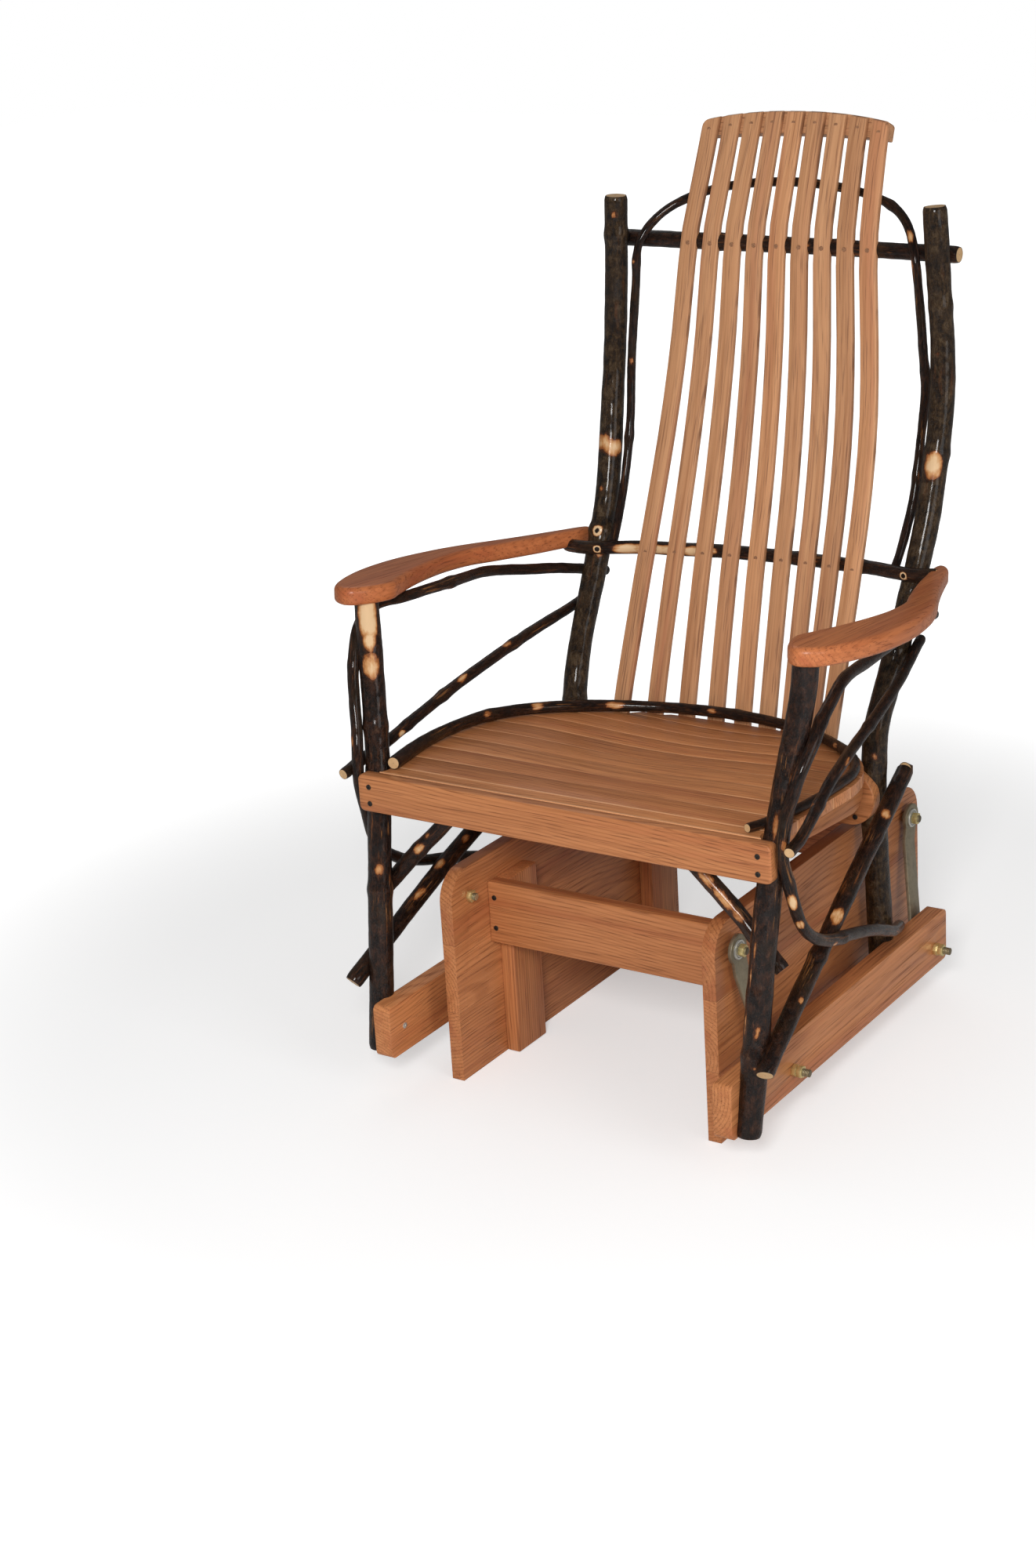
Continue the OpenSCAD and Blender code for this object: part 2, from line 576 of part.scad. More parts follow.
function slat_x(i, z) = slat_half(z) * (2 * (i - 1) / (back_slats - 1) - 1);
function arch(x) = crest_arch * pow(max(0, abs(x) - back_slat_w / 2) / (back_top_w - back_slat_w / 2), 2);
function crest_z(x) = chair_h - arch(x);
crest_tilt = atan((edge_y(chair_h - 4) - edge_y(chair_h - 39)) / 35);
crest_near = back_slat_t / 2 / cos(crest_tilt) + seat_gap;
crest_back = edge_y(chair_h - crest_h) + (crest_near + crest_t) * cos(crest_tilt)
    + (crest_h + crest_near * sin(crest_tilt)) * tan(crest_tilt);

function slat_pts(i) = let (top = crest_z(slat_x(i, chair_h)), n = 18)
    [for (k = [0 : n]) let (z = slat_foot_z + (top - slat_foot_z) * k / n)
        [slat_x(i, z), slat_y(slat_x(i, z), z), z]];

module back_slat(i) color(oak) placed() strip(slat_pts(i), back_slat_w, back_slat_t);

// The crest rail stands behind the slats' tops and leans with them
crest_foot = [edge_y(chair_h - crest_h), chair_h - crest_h];
function crest_top(x) = (crest_h - arch(x)) / cos(crest_tilt) + crest_near * tan(crest_tilt);
crest_half = back_top_w - 1;
crest_edge = concat([for (k = [-9 : 9]) let (x = k * (crest_half - 3) / 9) [x, crest_top(x)]],
    [[crest_half, crest_top(crest_half) - 3]],
    [for (k = [8 : -1 : -8]) [k * crest_half / 8, -crest_arch / 2 * pow(k / 8, 2)]],
    [[-crest_half, crest_top(crest_half) - 3]]);
module crest_rail() color(oak) placed()
    translate([0, crest_foot[0], crest_foot[1]]) rotate([-crest_tilt, 0, 0])
        translate([0, crest_near + crest_t, 0]) rotate([90, 0, 0])
            linear_extrude(crest_t) polygon(crest_edge);

// What is cut from a stick behind the slats, so that each slat lies on a flat
module slat_flats(z_at, slack) for (i = [1 : back_slats]) {
    z = z_at[i - 1];
    lean = atan((edge_y(z + 10) - edge_y(z - 10)) / 20);
    translate([slat_x(i, z), slat_y(slat_x(i, z), z), z]) rotate([-lean, 0, 0])
        block([-back_slat_w / 2 - 0.5, -60, -40], [back_slat_w / 2 + 0.5, back_slat_t / 2 + slack, 40]);
}

upper_z = back_z(0.778);
upper_stick_y = axis_y(post_pts, upper_z) + post_r + upper_stick_r - 2;
module upper_stick() color(bark) placed() difference() {
    stick([[-post_foot - 15, upper_stick_y, upper_z + 1], [0, upper_stick_y, upper_z],
        [post_foot + 29, upper_stick_y, upper_z - 3]], upper_stick_r, upper_stick_r - 0.5, 12, 3);
    for (s = [-1, 1]) side(s) post_body();
    slat_flats([for (i = [1 : back_slats]) upper_z], 1.2);
}

// The middle stick lies behind the slats and in front of the posts, and rises to the right
middle_half = post_foot + 52;
middle_low = arm_h - 57;
middle_slat = back_low_w + 4.5;
function middle_z(x) = middle_low + 11 * pow(max(0, x + 20) / 266, 1.5);
function behind_slats(x) =
    slat_y(min(abs(x), slat_half(middle_low)), middle_z(x)) + back_slat_t * 0.6 + middle_stick_r;
function before_posts(x) = axis_y(post_pts, middle_z(x)) - post_r - middle_stick_r + 3;
middle_pts = [for (x = [-middle_half, -post_foot - 13, -middle_slat, -middle_slat * 0.67, -middle_slat * 0.34,
        0, middle_slat * 0.34, middle_slat * 0.67, middle_slat, post_foot + 13, middle_half])
    [x, abs(x) > middle_slat + 5 ? before_posts(x) : behind_slats(x), middle_z(x)]];
module middle_stick() color(bark) placed() difference() {
    stick(middle_pts, middle_stick_r, middle_stick_r, 12, 2);
    for (s = [-1, 1]) side(s) {
        post_body();
        arm_body();
    }
    slat_flats([for (i = [1 : back_slats]) middle_z(slat_x(i, middle_low))], 0.4);
}

// The hoop stands on the middle stick. Its sides are [x from the post's foot, y from the post's
// axis, share of the height from the middle stick to the crest], its top [x, y from the slats, share].
hoop_side = [[-14, -5.5, 0.052], [-10, 3, 0.16], [-9, 5.5, 0.289], [-7, 3.5, 0.409], [-11, 0.5, 0.495],
    [-17, 2, 0.607], [-24, 4, 0.705]];
hoop_top = [[187, 1, 0.768], [150, 14, 0.806], [100, 14, 0.83], [45, 14, 0.842]];
function hoop_z(t) = middle_low + t * (chair_h - middle_low);
function hoop_foot(x) = [x, lookup(x, [for (q = smooth(middle_pts, 4)) [q[0], q[1]]]), middle_z(x) - 1];
function hoop_run(s) = concat([hoop_foot(s * (post_foot - 16))],
    [for (q = hoop_side) [s * (post_foot + q[0]), axis_y(post_pts, hoop_z(q[2])) + q[1], hoop_z(q[2])]],
    [for (q = hoop_top) [s * q[0], edge_y(hoop_z(q[2])) + q[1], hoop_z(q[2])]]);
hoop_left = hoop_run(-1);
hoop_right = hoop_run(1);
hoop_pts = concat(hoop_left, [[0, edge_y(hoop_z(0.845)) + 13.5, hoop_z(0.845)]],
    [for (k = [len(hoop_right) - 1 : -1 : 0]) hoop_right[k]]);
module back_hoop() color(bark) placed() difference() {
    stick(hoop_pts, hoop_r, hoop_r, 10, 2);
    stick(middle_pts, middle_stick_r, middle_stick_r, 12, 2);
}

// Pegs through the slats, and screws

peg_in = 14;     // how deep a peg goes in from a slat's middle
module peg(at) translate(at) rotate([90, 0, 0]) translate([0, 0, -peg_in])
    cylinder(h = peg_in + 0.3 + back_slat_t / 2, r = 3, $fn = 16);
module back_pegs() color("#8a5a34") placed()
    for (i = [1 : back_slats],
        z = [middle_z(slat_x(i, middle_low)), upper_z, crest_z(slat_x(i, chair_h)) - 14])
        peg([slat_x(i, z), slat_y(slat_x(i, z), z), z]);

module frame_screws() color(dark) placed() for (s = [-1, 1]) side(s) {
    for (z = [0.31, 0.76]) translate([leg_seat[0] - 6, 0, seat_h - apron_h * z])
        rotate([90, 0, 0]) cylinder(h = 1, r = 3);
    rod_x(board_in - 1, board_in, [leg_foot[1] + 8, board_mid_z], 4);
    translate([post_foot - 12, rear_board_y, rear_board_z + 13]) rotate([90, 0, 0]) cylinder(h = 1, r = 3.5);
}

base_panel(-1);  // base_panel_left
base_panel(1);  // base_panel_right
base_rail(front_rail_y);  // base_front_rail
base_rail(rear_rail_y);  // base_rear_rail
base_cleats();
base_screws();
upper_pivot_bolts();
upper_pivot_nuts();
link_plate(-1, front_top, front_low);  // link_front_left
link_plate(1, front_top, front_low);  // link_front_right
link_plate(-1, rear_top, rear_low);  // link_rear_left
link_plate(1, rear_top, rear_low);  // link_rear_right
bearings(-1, front_top, front_low, bolt_r + fit);  // bearings_front_left
bearings(1, front_top, front_low, bolt_r + fit);  // bearings_front_right
bearings(-1, rear_top, rear_low, open_bore_r);  // bearings_rear_left
bearings(1, rear_top, rear_low, open_bore_r);  // bearings_rear_right
side_board(-1);  // side_board_left
side_board(1);  // side_board_right
lower_pivot_bolts();
lower_pivot_nuts();
front_leg(-1);  // front_leg_left
front_leg(1);  // front_leg_right
rear_post(-1);  // rear_post_left
rear_post(1);  // rear_post_right
diagonal_brace(-1);  // diagonal_brace_left
diagonal_brace(1);  // diagonal_brace_right
knee_brace(-1);  // knee_brace_left
knee_brace(1);  // knee_brace_right
side_bow(-1);  // side_bow_left
side_bow(1);  // side_bow_right
side_twig(-1);  // side_twig_left
side_twig(1);  // side_twig_right
arm(-1);  // arm_left
arm(1);  // arm_right
seat_apron();
seat_rail(-1);  // seat_rail_left
seat_rail(1);  // seat_rail_right
rear_seat_board();
seat_slats();
seat_rim();
upper_stick();
middle_stick();
back_hoop();
crest_rail();
back_slat(1);  // back_slat_1
back_slat(2);  // back_slat_2
back_slat(3);  // back_slat_3
back_slat(4);  // back_slat_4
back_slat(5);  // back_slat_5
back_slat(6);  // back_slat_6
back_slat(7);  // back_slat_7
back_slat(8);  // back_slat_8
back_slat(9);  // back_slat_9
back_pegs();
frame_screws();
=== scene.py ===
import bpy
import bmesh
import json
import math
from mathutils import Matrix, Vector

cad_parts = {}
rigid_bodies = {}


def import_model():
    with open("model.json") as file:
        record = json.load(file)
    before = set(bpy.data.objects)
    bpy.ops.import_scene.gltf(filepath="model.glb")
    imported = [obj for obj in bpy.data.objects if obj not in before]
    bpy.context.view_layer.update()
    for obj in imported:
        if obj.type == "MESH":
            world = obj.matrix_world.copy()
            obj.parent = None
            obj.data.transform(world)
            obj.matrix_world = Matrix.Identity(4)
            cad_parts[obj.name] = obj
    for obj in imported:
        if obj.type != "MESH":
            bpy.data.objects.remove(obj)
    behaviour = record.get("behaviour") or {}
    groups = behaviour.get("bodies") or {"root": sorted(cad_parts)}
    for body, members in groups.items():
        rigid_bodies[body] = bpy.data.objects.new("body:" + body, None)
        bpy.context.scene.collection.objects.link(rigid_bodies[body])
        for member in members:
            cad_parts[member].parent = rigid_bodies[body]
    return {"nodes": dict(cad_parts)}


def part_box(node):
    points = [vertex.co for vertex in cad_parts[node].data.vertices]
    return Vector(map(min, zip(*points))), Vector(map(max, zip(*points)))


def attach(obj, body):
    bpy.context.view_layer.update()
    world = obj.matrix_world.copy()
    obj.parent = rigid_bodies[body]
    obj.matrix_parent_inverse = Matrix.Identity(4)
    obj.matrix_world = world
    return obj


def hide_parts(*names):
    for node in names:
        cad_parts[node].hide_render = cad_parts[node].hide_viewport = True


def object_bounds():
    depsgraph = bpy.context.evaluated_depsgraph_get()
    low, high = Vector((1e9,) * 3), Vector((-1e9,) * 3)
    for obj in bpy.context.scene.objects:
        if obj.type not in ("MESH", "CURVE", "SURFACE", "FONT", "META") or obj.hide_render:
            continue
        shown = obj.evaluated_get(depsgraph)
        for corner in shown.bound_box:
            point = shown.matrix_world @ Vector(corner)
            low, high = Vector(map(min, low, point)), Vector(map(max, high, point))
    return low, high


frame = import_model()
scene = bpy.context.scene
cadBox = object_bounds()
nodes = frame["nodes"]
mm = 0.001
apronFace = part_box("seat_apron")[0].y  # points below count y from the apron's front face
print("frame loaded:", len(nodes), "nodes")


def place(p):
    return Vector((p[0] * mm, p[1] * mm + apronFace, p[2] * mm))


def feed(tree, node, sockets):  # a socket's value is a number, a colour, a thing or a link
    for key, value in sockets.items():
        value = getattr(value, "socket", value)
        if hasattr(value, "is_output"):
            tree.links.new(value, node.inputs[key])
        elif isinstance(value, tuple) and len(value) == 3 and node.inputs[key].type == "RGBA":
            node.inputs[key].default_value = (*value, 1)
        else:
            node.inputs[key].default_value = value


def addNode(tree, kind, settings, sockets):
    node = tree.nodes.new(kind)
    for key, value in settings.items():
        if key == "stops":
            stops = node.color_ramp.elements
            while len(stops) < len(value):
                stops.new(0.5)
            for stop, (position, colour) in zip(stops, value):
                stop.position = position
                stop.color = (*colour, 1)
        else:
            setattr(node, key, value)
    feed(tree, node, sockets)
    return node


def mathNode(operation, flipped=False):
    def made(self, other):
        pair = (other, self) if flipped else (self, other)
        return self.maker.number(operation, *pair)
    return made


# a socket that takes part in sums, so that shader maths reads as plain expressions
class Wire:
    def __init__(self, maker, socket):
        self.maker = maker
        self.socket = socket

    __add__, __radd__ = mathNode("ADD"), mathNode("ADD", True)
    __sub__, __rsub__ = mathNode("SUBTRACT"), mathNode("SUBTRACT", True)
    __mul__, __rmul__ = mathNode("MULTIPLY"), mathNode("MULTIPLY", True)
    __truediv__, __pow__ = mathNode("DIVIDE"), mathNode("POWER")


# the node tree of a material or a world, ending in one shader
class Finish:
    def __init__(self, owner, shader="ShaderNodeBsdfPrincipled", output="ShaderNodeOutputMaterial"):
        self.owner = owner
        owner.use_nodes = True
        self.tree = owner.node_tree
        self.tree.nodes.clear()
        self.shader = self.tree.nodes.new(shader)
        self.tree.links.new(self.shader.outputs[0], self.tree.nodes.new(output).inputs[0])

    def add(self, kind, settings={}, sockets={}, out=0):
        return Wire(self, addNode(self.tree, "ShaderNode" + kind, settings, sockets).outputs[out])

    def number(self, operation, *values):
        return self.add("Math", {"operation": operation}, dict(enumerate(values)))

    def objectPoint(self):
        return self.add("TexCoord", out="Object")

    def named(self, name, out="Fac"):
        return self.add("Attribute", {"attribute_name": name}, out=out)

    def moved(self, point, vector):
        return self.add("VectorMath", {"operation": "ADD"}, {0: point, 1: vector})

    def split(self, point):
        first = self.add("SeparateXYZ", {}, {0: point})
        return [Wire(self, s) for s in first.socket.node.outputs]

    def join(self, x, y, z):
        return self.add("CombineXYZ", {}, {0: x, 1: y, 2: z})

    def cloud(self, point, scale, detail=3.0, rough=0.55, twist=0.0):
        return self.add("TexNoise", {}, {"Vector": point, "Scale": scale, "Detail": detail,
                                         "Roughness": rough, "Distortion": twist})

    def step(self, value, low, high):
        return self.add("MapRange", {"interpolation_type": "SMOOTHSTEP"},
                        {"Value": value, "From Min": low, "From Max": high})

    def ramp(self, value, stops):
        return self.add("ValToRGB", {"stops": stops}, {0: value})

    def blend(self, share, a, b, how="MIX"):
        return self.add("Mix", {"data_type": "RGBA", "blend_type": how}, {0: share, 6: a, 7: b}, out=2)

    def bump(self, height, depth, strength=1.0):
        return self.add("Bump", {}, {"Height": height, "Distance": depth, "Strength": strength})

    def end(self, **sockets):
        feed(self.tree, self.shader, {key.replace("_", " "): value for key, value in sockets.items()})
        return self.owner


def startFinish(name):
    return Finish(bpy.data.materials.new(name))


oakLook = {
    "pale": (0.63, 0.258, 0.100), "mid": (0.53, 0.205, 0.076), "deep": (0.36, 0.122, 0.042),
    # the last colour in the next row is a painted highlight for the seat slats' front edges
    "red": (0.47, 0.150, 0.058), "pore": (0.19, 0.064, 0.025), "edgeHighlight": (0.86, 0.47, 0.24),
    "rings": 1300.0, "patches": 38.0, "bands": 95.0, "lines": 260.0, "pores": 620.0,  # all per metre
    "drawnOut": 0.022,  # the grain's pattern along the board, as a share of that across it
    "boardShades": [(0.0, (0.84, 0.80, 0.78)), (0.4, (0.97, 0.95, 0.93)), (0.75, (1.0, 1.0, 1.0)),
                    (1.0, (1.06, 1.02, 0.98))],
    # the next two numbers bound the band painted pale as a highlight
    "highlightWidth": 0.0042, "highlightCore": 0.0014,  # metres behind a slat's front edge
    "seamWidth": 0.0007, "relief": 0.0003, "coat": 0.16,
}
oakKinds = {  # figure: share of the year rings, lines: of the fine dark lines, plank: width in metres
    "red": {"tint": (1.04, 1.05, 1.05)},
    "slat": {"tint": (1.03, 1.31, 1.70), "figure": 0.12, "lines": 0.52},
    # the seat's last entry sets how strongly a highlight is painted on its slats' front edges
    "seat": {"tint": (1.12, 1.13, 1.10), "figure": 0.32, "lines": 0.5, "edgeHighlight": 0.6},
    "arm": {"tint": (0.96, 0.78, 0.72), "figure": 0.16, "lines": 0.4},
    "panel": {"tint": (0.99, 0.98, 0.97), "plank": 0.0985},
}


def makeOak(name, look, tint, plank=0.0, figure=0.42, lines=0.36, edgeHighlight=0.0):
    f = startFinish(name)
    tone = f.named("tone")
    u, v, w = f.split(f.named("grain", "Vector"))  # along the grain, across it, into the board
    if plank:  # glued up from planks, each with its own figure
        across = v + 1.5 * plank
        tone = f.number("FRACT", tone + f.number("FLOOR", across / plank) * 0.37)
        seam = f.number("PINGPONG", across, plank / 2)
    other = f.number("FRACT", tone * 7.31)
    shift = f.join(tone * 3.1, other * 2.3, tone * 1.7)
    sway = f.cloud(f.moved(f.join(u * 0.45, v, w), shift), 6.0, 2.0, 0.5) - 0.5
    fromCore = v + (tone - 0.5) * 0.14 + sway * 0.05
    depth = w + 0.012 + other * 0.06
    reach = (fromCore * fromCore + depth * depth) ** 0.5
    ring = f.number("SINE", (reach + u * (other - 0.5) * 0.10 + sway * 0.012) * look["rings"])
    late = f.step(ring, 0.1, 0.95)
    fine = f.moved(f.join(u * look["drawnOut"], v, w), shift)
    broad = f.cloud(fine, look["bands"], 3.0, 0.6)
    thin = f.cloud(fine, look["pores"], 2.0, 0.55)
    colour = f.ramp(broad, [(0.32, look["mid"]), (0.62, look["pale"])])
    patches = f.step(f.cloud(fine, look["patches"], 2.0), 0.48, 0.72)
    colour = f.blend(patches * 0.75, colour, look["red"])
    colour = f.blend(late * figure, colour, look["deep"])
    dark = f.step(f.cloud(fine, look["lines"], 3.0, 0.6), 0.46, 0.66)
    colour = f.blend(dark * lines, colour, look["deep"])
    pores = f.step(thin + late * 0.06, 0.585, 0.70)
    colour = f.blend(pores * 0.60, colour, look["pore"])
    colour = f.blend(1.0, colour, f.ramp(tone, look["boardShades"]), "MULTIPLY")
    colour = f.blend(1.0, colour, tint, "MULTIPLY")
    if edgeHighlight:  # the slats' rounded front edges, painted pale as a highlight
        highlightBand = f.step(f.named("edge"), look["highlightWidth"], look["highlightCore"])
        colour = f.blend(highlightBand * edgeHighlight, colour, look["edgeHighlight"])
    height = pores * -1.0 + broad * 0.3
    if plank:
        line = f.step(seam, look["seamWidth"], 0.0)
        colour = f.blend(line * 0.6, colour, look["pore"])
        height = height - line * 1.5
    return f.end(Base_Color=colour, Roughness=0.36 + pores * 0.2 + broad * 0.1,
                 Normal=f.bump(height, look["relief"], 0.5), Coat_Weight=look["coat"],
                 Coat_Roughness=0.22, Specular_IOR_Level=0.25)


barkLook = {
    "dark": (0.0060, 0.0020, 0.0010), "brown": (0.040, 0.0135, 0.0055), "tan": (0.120, 0.056, 0.028),
    "oliveDark": (0.0066, 0.0030, 0.0011), "olive": (0.038, 0.0190, 0.0062), "lichen": (0.088, 0.055, 0.027),
    "fleck": (0.090, 0.040, 0.020), "rust": (0.20, 0.066, 0.018), "gold": (0.34, 0.140, 0.040),
    "halo": (0.085, 0.026, 0.009), "peelDeep": (0.30, 0.096, 0.024), "peel": (0.56, 0.27, 0.100),
    "cream": (0.74, 0.50, 0.28),
    "radius": 0.014,  # metres, where the pattern keeps its true size round the stick
    "plates": 110.0, "ridges": 260.0, "flecks": 520.0, "ragged": 130.0, "clouds": 11.0,  # all per metre
    "streaks": 150.0, "scratches": 420.0, "nicks": 26.0,
    "relief": 0.0036, "coat": 0.30,
}


def makeBark(look):
    f = startFinish("hickoryBark")
    around = f.split(f.named("around", "Vector"))
    along = f.named("along")
    tone = f.named("tone")  # under a half: the posts' olive bark, over it: the legs' and twigs' brown
    brownish = f.step(tone, 0.45, 0.55)
    wrap = f.join(around[0] * look["radius"], around[1] * look["radius"], along + tone * 9.0)

    def drawn(share):  # the pattern pulled out along the stick
        return f.add("Mapping", {}, {"Vector": wrap, "Scale": (1.0, 1.0, share)})

    ridge = f.cloud(drawn(0.3), look["ridges"], 4.0, 0.68, 0.4)
    plate = f.cloud(drawn(0.7), look["plates"], 4.0, 0.66, 0.6)
    fleck = f.cloud(drawn(0.7), look["flecks"], 3.0, 0.6)
    mixed = plate * 0.6 + ridge * 0.45
    olive = f.ramp(mixed, [(0.43, look["oliveDark"]), (0.54, look["olive"]), (0.66, look["lichen"])])
    brown = f.ramp(mixed, [(0.48, look["dark"]), (0.62, look["brown"]), (0.78, look["tan"])])
    colour = f.blend(brownish, olive, brown)
    cloudy = f.step(f.cloud(wrap, look["clouds"], 4.0, 0.65), 0.50, 0.66)
    colour = f.blend(cloudy * 0.55, colour, f.blend(brownish, look["dark"], look["olive"]))
    streaks = f.step(f.cloud(drawn(0.10), look["streaks"], 4.0, 0.66), 0.57, 0.66)
    streaks = streaks * f.step(f.cloud(wrap, 7.0, 2.0), 0.44, 0.60)
    colour = f.blend(streaks * (brownish * 0.55 + 0.25), colour, look["rust"])
    scratch = f.step(f.cloud(drawn(0.05), look["scratches"], 3.0, 0.6), 0.58, 0.64)
    scratch = scratch * f.step(f.cloud(wrap, 9.0, 3.0), 0.55, 0.62)
    colour = f.blend(scratch * brownish * 0.70, colour, look["gold"])
    colour = f.blend(f.step(fleck, 0.62, 0.72) * 0.45, colour,
                     f.blend(brownish, look["lichen"], look["fleck"]))
    ragged = f.cloud(drawn(0.55), look["ragged"], 4.0, 0.62)
    nick = f.step(f.cloud(drawn(0.22), look["nicks"], 5.0, 0.7) + ragged * 0.12, 0.745, 0.775)
    colour = f.blend(nick * brownish * 0.85, colour, look["peelDeep"])
    bare = f.named("peel") + (ragged - 0.5) * 0.95  # where the bark is off: a dark halo, then pale wood
    inner = f.ramp(bare + (f.cloud(drawn(0.10), 170.0, 2.0) - 0.5) * 0.4,
                   [(0.45, look["rust"]), (0.56, look["peelDeep"]), (0.74, look["peel"]),
                    (1.02, look["cream"])])
    colour = f.blend(f.step(bare, 0.24, 0.40) * 0.7, colour, look["halo"])
    mask = f.step(bare, 0.44, 0.48)
    colour = f.blend(mask, colour, inner)
    holeShade = f.step(bare, 1.55, 1.70)  # painted shade: the inside of a screw's counterbore or a knot's hole, painted dark
    colour = f.blend(holeShade, colour, look["dark"])
    height = (plate * 0.7 + ridge * 0.8 + fleck * 0.55) * (1.0 - mask * 0.9) - mask * 0.15
    return f.end(Base_Color=colour, Roughness=0.22 + ridge * 0.26 + mask * 0.1,
                 Normal=f.bump(height, look["relief"]), Coat_Weight=look["coat"], Coat_Roughness=0.10,
                 Specular_IOR_Level=0.20)


cutLook = {"early": (0.46, 0.24, 0.09), "wood": (0.74, 0.47, 0.23), "late": (0.86, 0.62, 0.36),
           "pith": (0.16, 0.07, 0.03), "rind": (0.05, 0.025, 0.014), "rings": 58.0}


def makeCutEnd(look):
    f = startFinish("cutEnd")
    across = f.split(f.named("around", "Vector"))
    reach = (across[0] * across[0] + across[1] * across[1]) ** 0.5  # 0 at the pith, 1 under the bark
    wobble = f.cloud(f.objectPoint(), 160.0, 3.0)
    rings = f.number("SINE", (reach + wobble * 0.08) * look["rings"])
    colour = f.ramp(rings * 0.18 + 0.5 + wobble * 0.3 - 0.15,
                    [(0.2, look["early"]), (0.55, look["wood"]), (0.85, look["late"])])
    colour = f.blend(f.step(reach + wobble * 0.1, 0.13, 0.09), colour, look["pith"])
    colour = f.blend(f.step(reach + wobble * 0.06, 0.93, 0.98), colour, look["rind"])
    return f.end(Base_Color=colour, Roughness=0.45 + wobble * 0.2, Normal=f.bump(rings, 0.0002, 0.5),
                 Coat_Weight=0.12)


metals = {  # grain: fineness of the spangle
    "galvanizedSteel": {"colour": (0.30, 0.255, 0.175), "dull": 0.38, "grain": 1.0, "metallic": 0.75},
    "bearingSteel": {"colour": (0.60, 0.59, 0.54), "dull": 0.26, "grain": 2.0, "metallic": 0.6},
    "bearingShield": {"colour": (0.10, 0.10, 0.10), "dull": 0.45, "grain": 2.0, "metallic": 0.4},
    "yellowZinc": {"colour": (0.72, 0.58, 0.26), "dull": 0.24, "grain": 2.0, "metallic": 0.7},
    "darkScrew": {"colour": (0.05, 0.042, 0.036), "dull": 0.42, "grain": 2.0, "metallic": 0.8},
}


def makeMetal(name, colour, dull, grain, metallic):
    f = startFinish(name)
    point = f.objectPoint()
    spangle = f.cloud(point, 120.0 * grain, 3.0, 0.6, 0.6)
    fine = f.cloud(point, 900.0, 2.0, 0.5)
    low = tuple(c * 0.72 for c in colour)
    high = tuple(min(1.0, c * 1.16) for c in colour)
    shade = f.ramp(spangle * 0.8 + fine * 0.25, [(0.32, low), (0.52, colour), (0.72, high)])
    grime = f.step(f.cloud(point, 30.0, 4.0, 0.7), 0.56, 0.72)
    shade = f.blend(grime * 0.35, shade, tuple(c * 0.4 for c in colour))
    return f.end(Base_Color=shade, Metallic=metallic, Roughness=dull + spangle * 0.18,
                 Normal=f.bump(fine + spangle, 0.00012, 0.6))


# the darker colour in the thread's grooves is painted shade
threadLook = {"grooveShade": (0.13, 0.10, 0.055), "crest": (0.52, 0.44, 0.27), "turns": 210.0, "metallic": 0.7}


def makeThread(look):
    f = startFinish("boltThread")
    turns = f.add("TexWave", {"bands_direction": "X"},
                  {"Vector": f.objectPoint(), "Scale": look["turns"]}, out="Fac")
    shade = f.ramp(turns, [(0.2, look["grooveShade"]), (0.8, look["crest"])])
    return f.end(Base_Color=shade, Metallic=look["metallic"], Roughness=0.34 + turns * 0.1,
                 Normal=f.bump(turns, 0.0006, 0.8))


pegLook = {"dark": (0.19, 0.080, 0.035), "mid": (0.36, 0.175, 0.085), "pale": (0.50, 0.27, 0.14)}


def makePeg(look):
    f = startFinish("pegOak")
    grain = f.cloud(f.objectPoint(), 700.0, 3.0, 0.6)
    shade = f.ramp(grain, [(0.35, look["dark"]), (0.6, look["mid"]), (0.8, look["pale"])])
    return f.end(Base_Color=shade, Roughness=0.4 + grain * 0.2, Normal=f.bump(grain, 0.0002, 0.5),
                 Coat_Weight=0.2)


oak = {kind: makeOak(kind + "Oak", oakLook, **own) for kind, own in oakKinds.items()}
bark = makeBark(barkLook)
cutEnd = makeCutEnd(cutLook)
metal = {name: makeMetal(name, **look) for name, look in metals.items()}
thread = makeThread(threadLook)
peg = makePeg(pegLook)
print("finishes made")


def link(name, data):
    thing = bpy.data.objects.new(name, data)
    scene.collection.objects.link(thing)
    return thing


def finishPiece(thing, body, replaced=()):
    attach(thing, body)
    if replaced:
        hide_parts(*replaced)


def shadeByAngle(mesh, degrees):
    bm = bmesh.new()
    bm.from_mesh(mesh)
    for face in bm.faces:
        face.smooth = True
    for edge in bm.edges:
        edge.smooth = edge.calc_face_angle(0.0) < math.radians(degrees)
    bm.to_mesh(mesh)
    bm.free()


def toMesh(bm, name, angle):  # a mesh from a bmesh, with edges sharper than the angle left hard
    mesh = bpy.data.meshes.new(name)
    bm.to_mesh(mesh)
    bm.free()
    shadeByAngle(mesh, angle)
    return mesh


def splitLongFaces(bm):
    bmesh.ops.triangulate(bm, faces=[f for f in bm.faces if len(f.verts) > 4])


def roundOff(bm, edges, width, steps):
    bmesh.ops.bevel(bm, geom=edges, offset=width, segments=steps, profile=0.5, affect="EDGES",
                    clamp_overlap=True)


def ringOf(bm, x, radius, sides):  # a ring of points about the x axis
    turns = [2 * math.pi * k / sides for k in range(sides)]
    return [bm.verts.new((x, radius * math.cos(t), radius * math.sin(t))) for t in turns]


def bridge(bm, a, b):
    for k in range(len(a)):
        bm.faces.new((a[k], b[k], b[(k + 1) % len(a)], a[(k + 1) % len(a)]))


def islands(bm):  # the points of each separate solid
    seen, groups = set(), []
    for first in bm.verts:
        if first in seen:
            continue
        seen.add(first)
        stack, group = [first], []
        while stack:
            v = stack.pop()
            group.append(v)
            for edge in v.link_edges:
                other = edge.other_vert(v)
                if other not in seen:
                    seen.add(other)
                    stack.append(other)
        groups.append(group)
    return groups


def boxOf(verts):
    low = Vector([min(v.co[k] for v in verts) for k in range(3)])
    high = Vector([max(v.co[k] for v in verts) for k in range(3)])
    return low, high


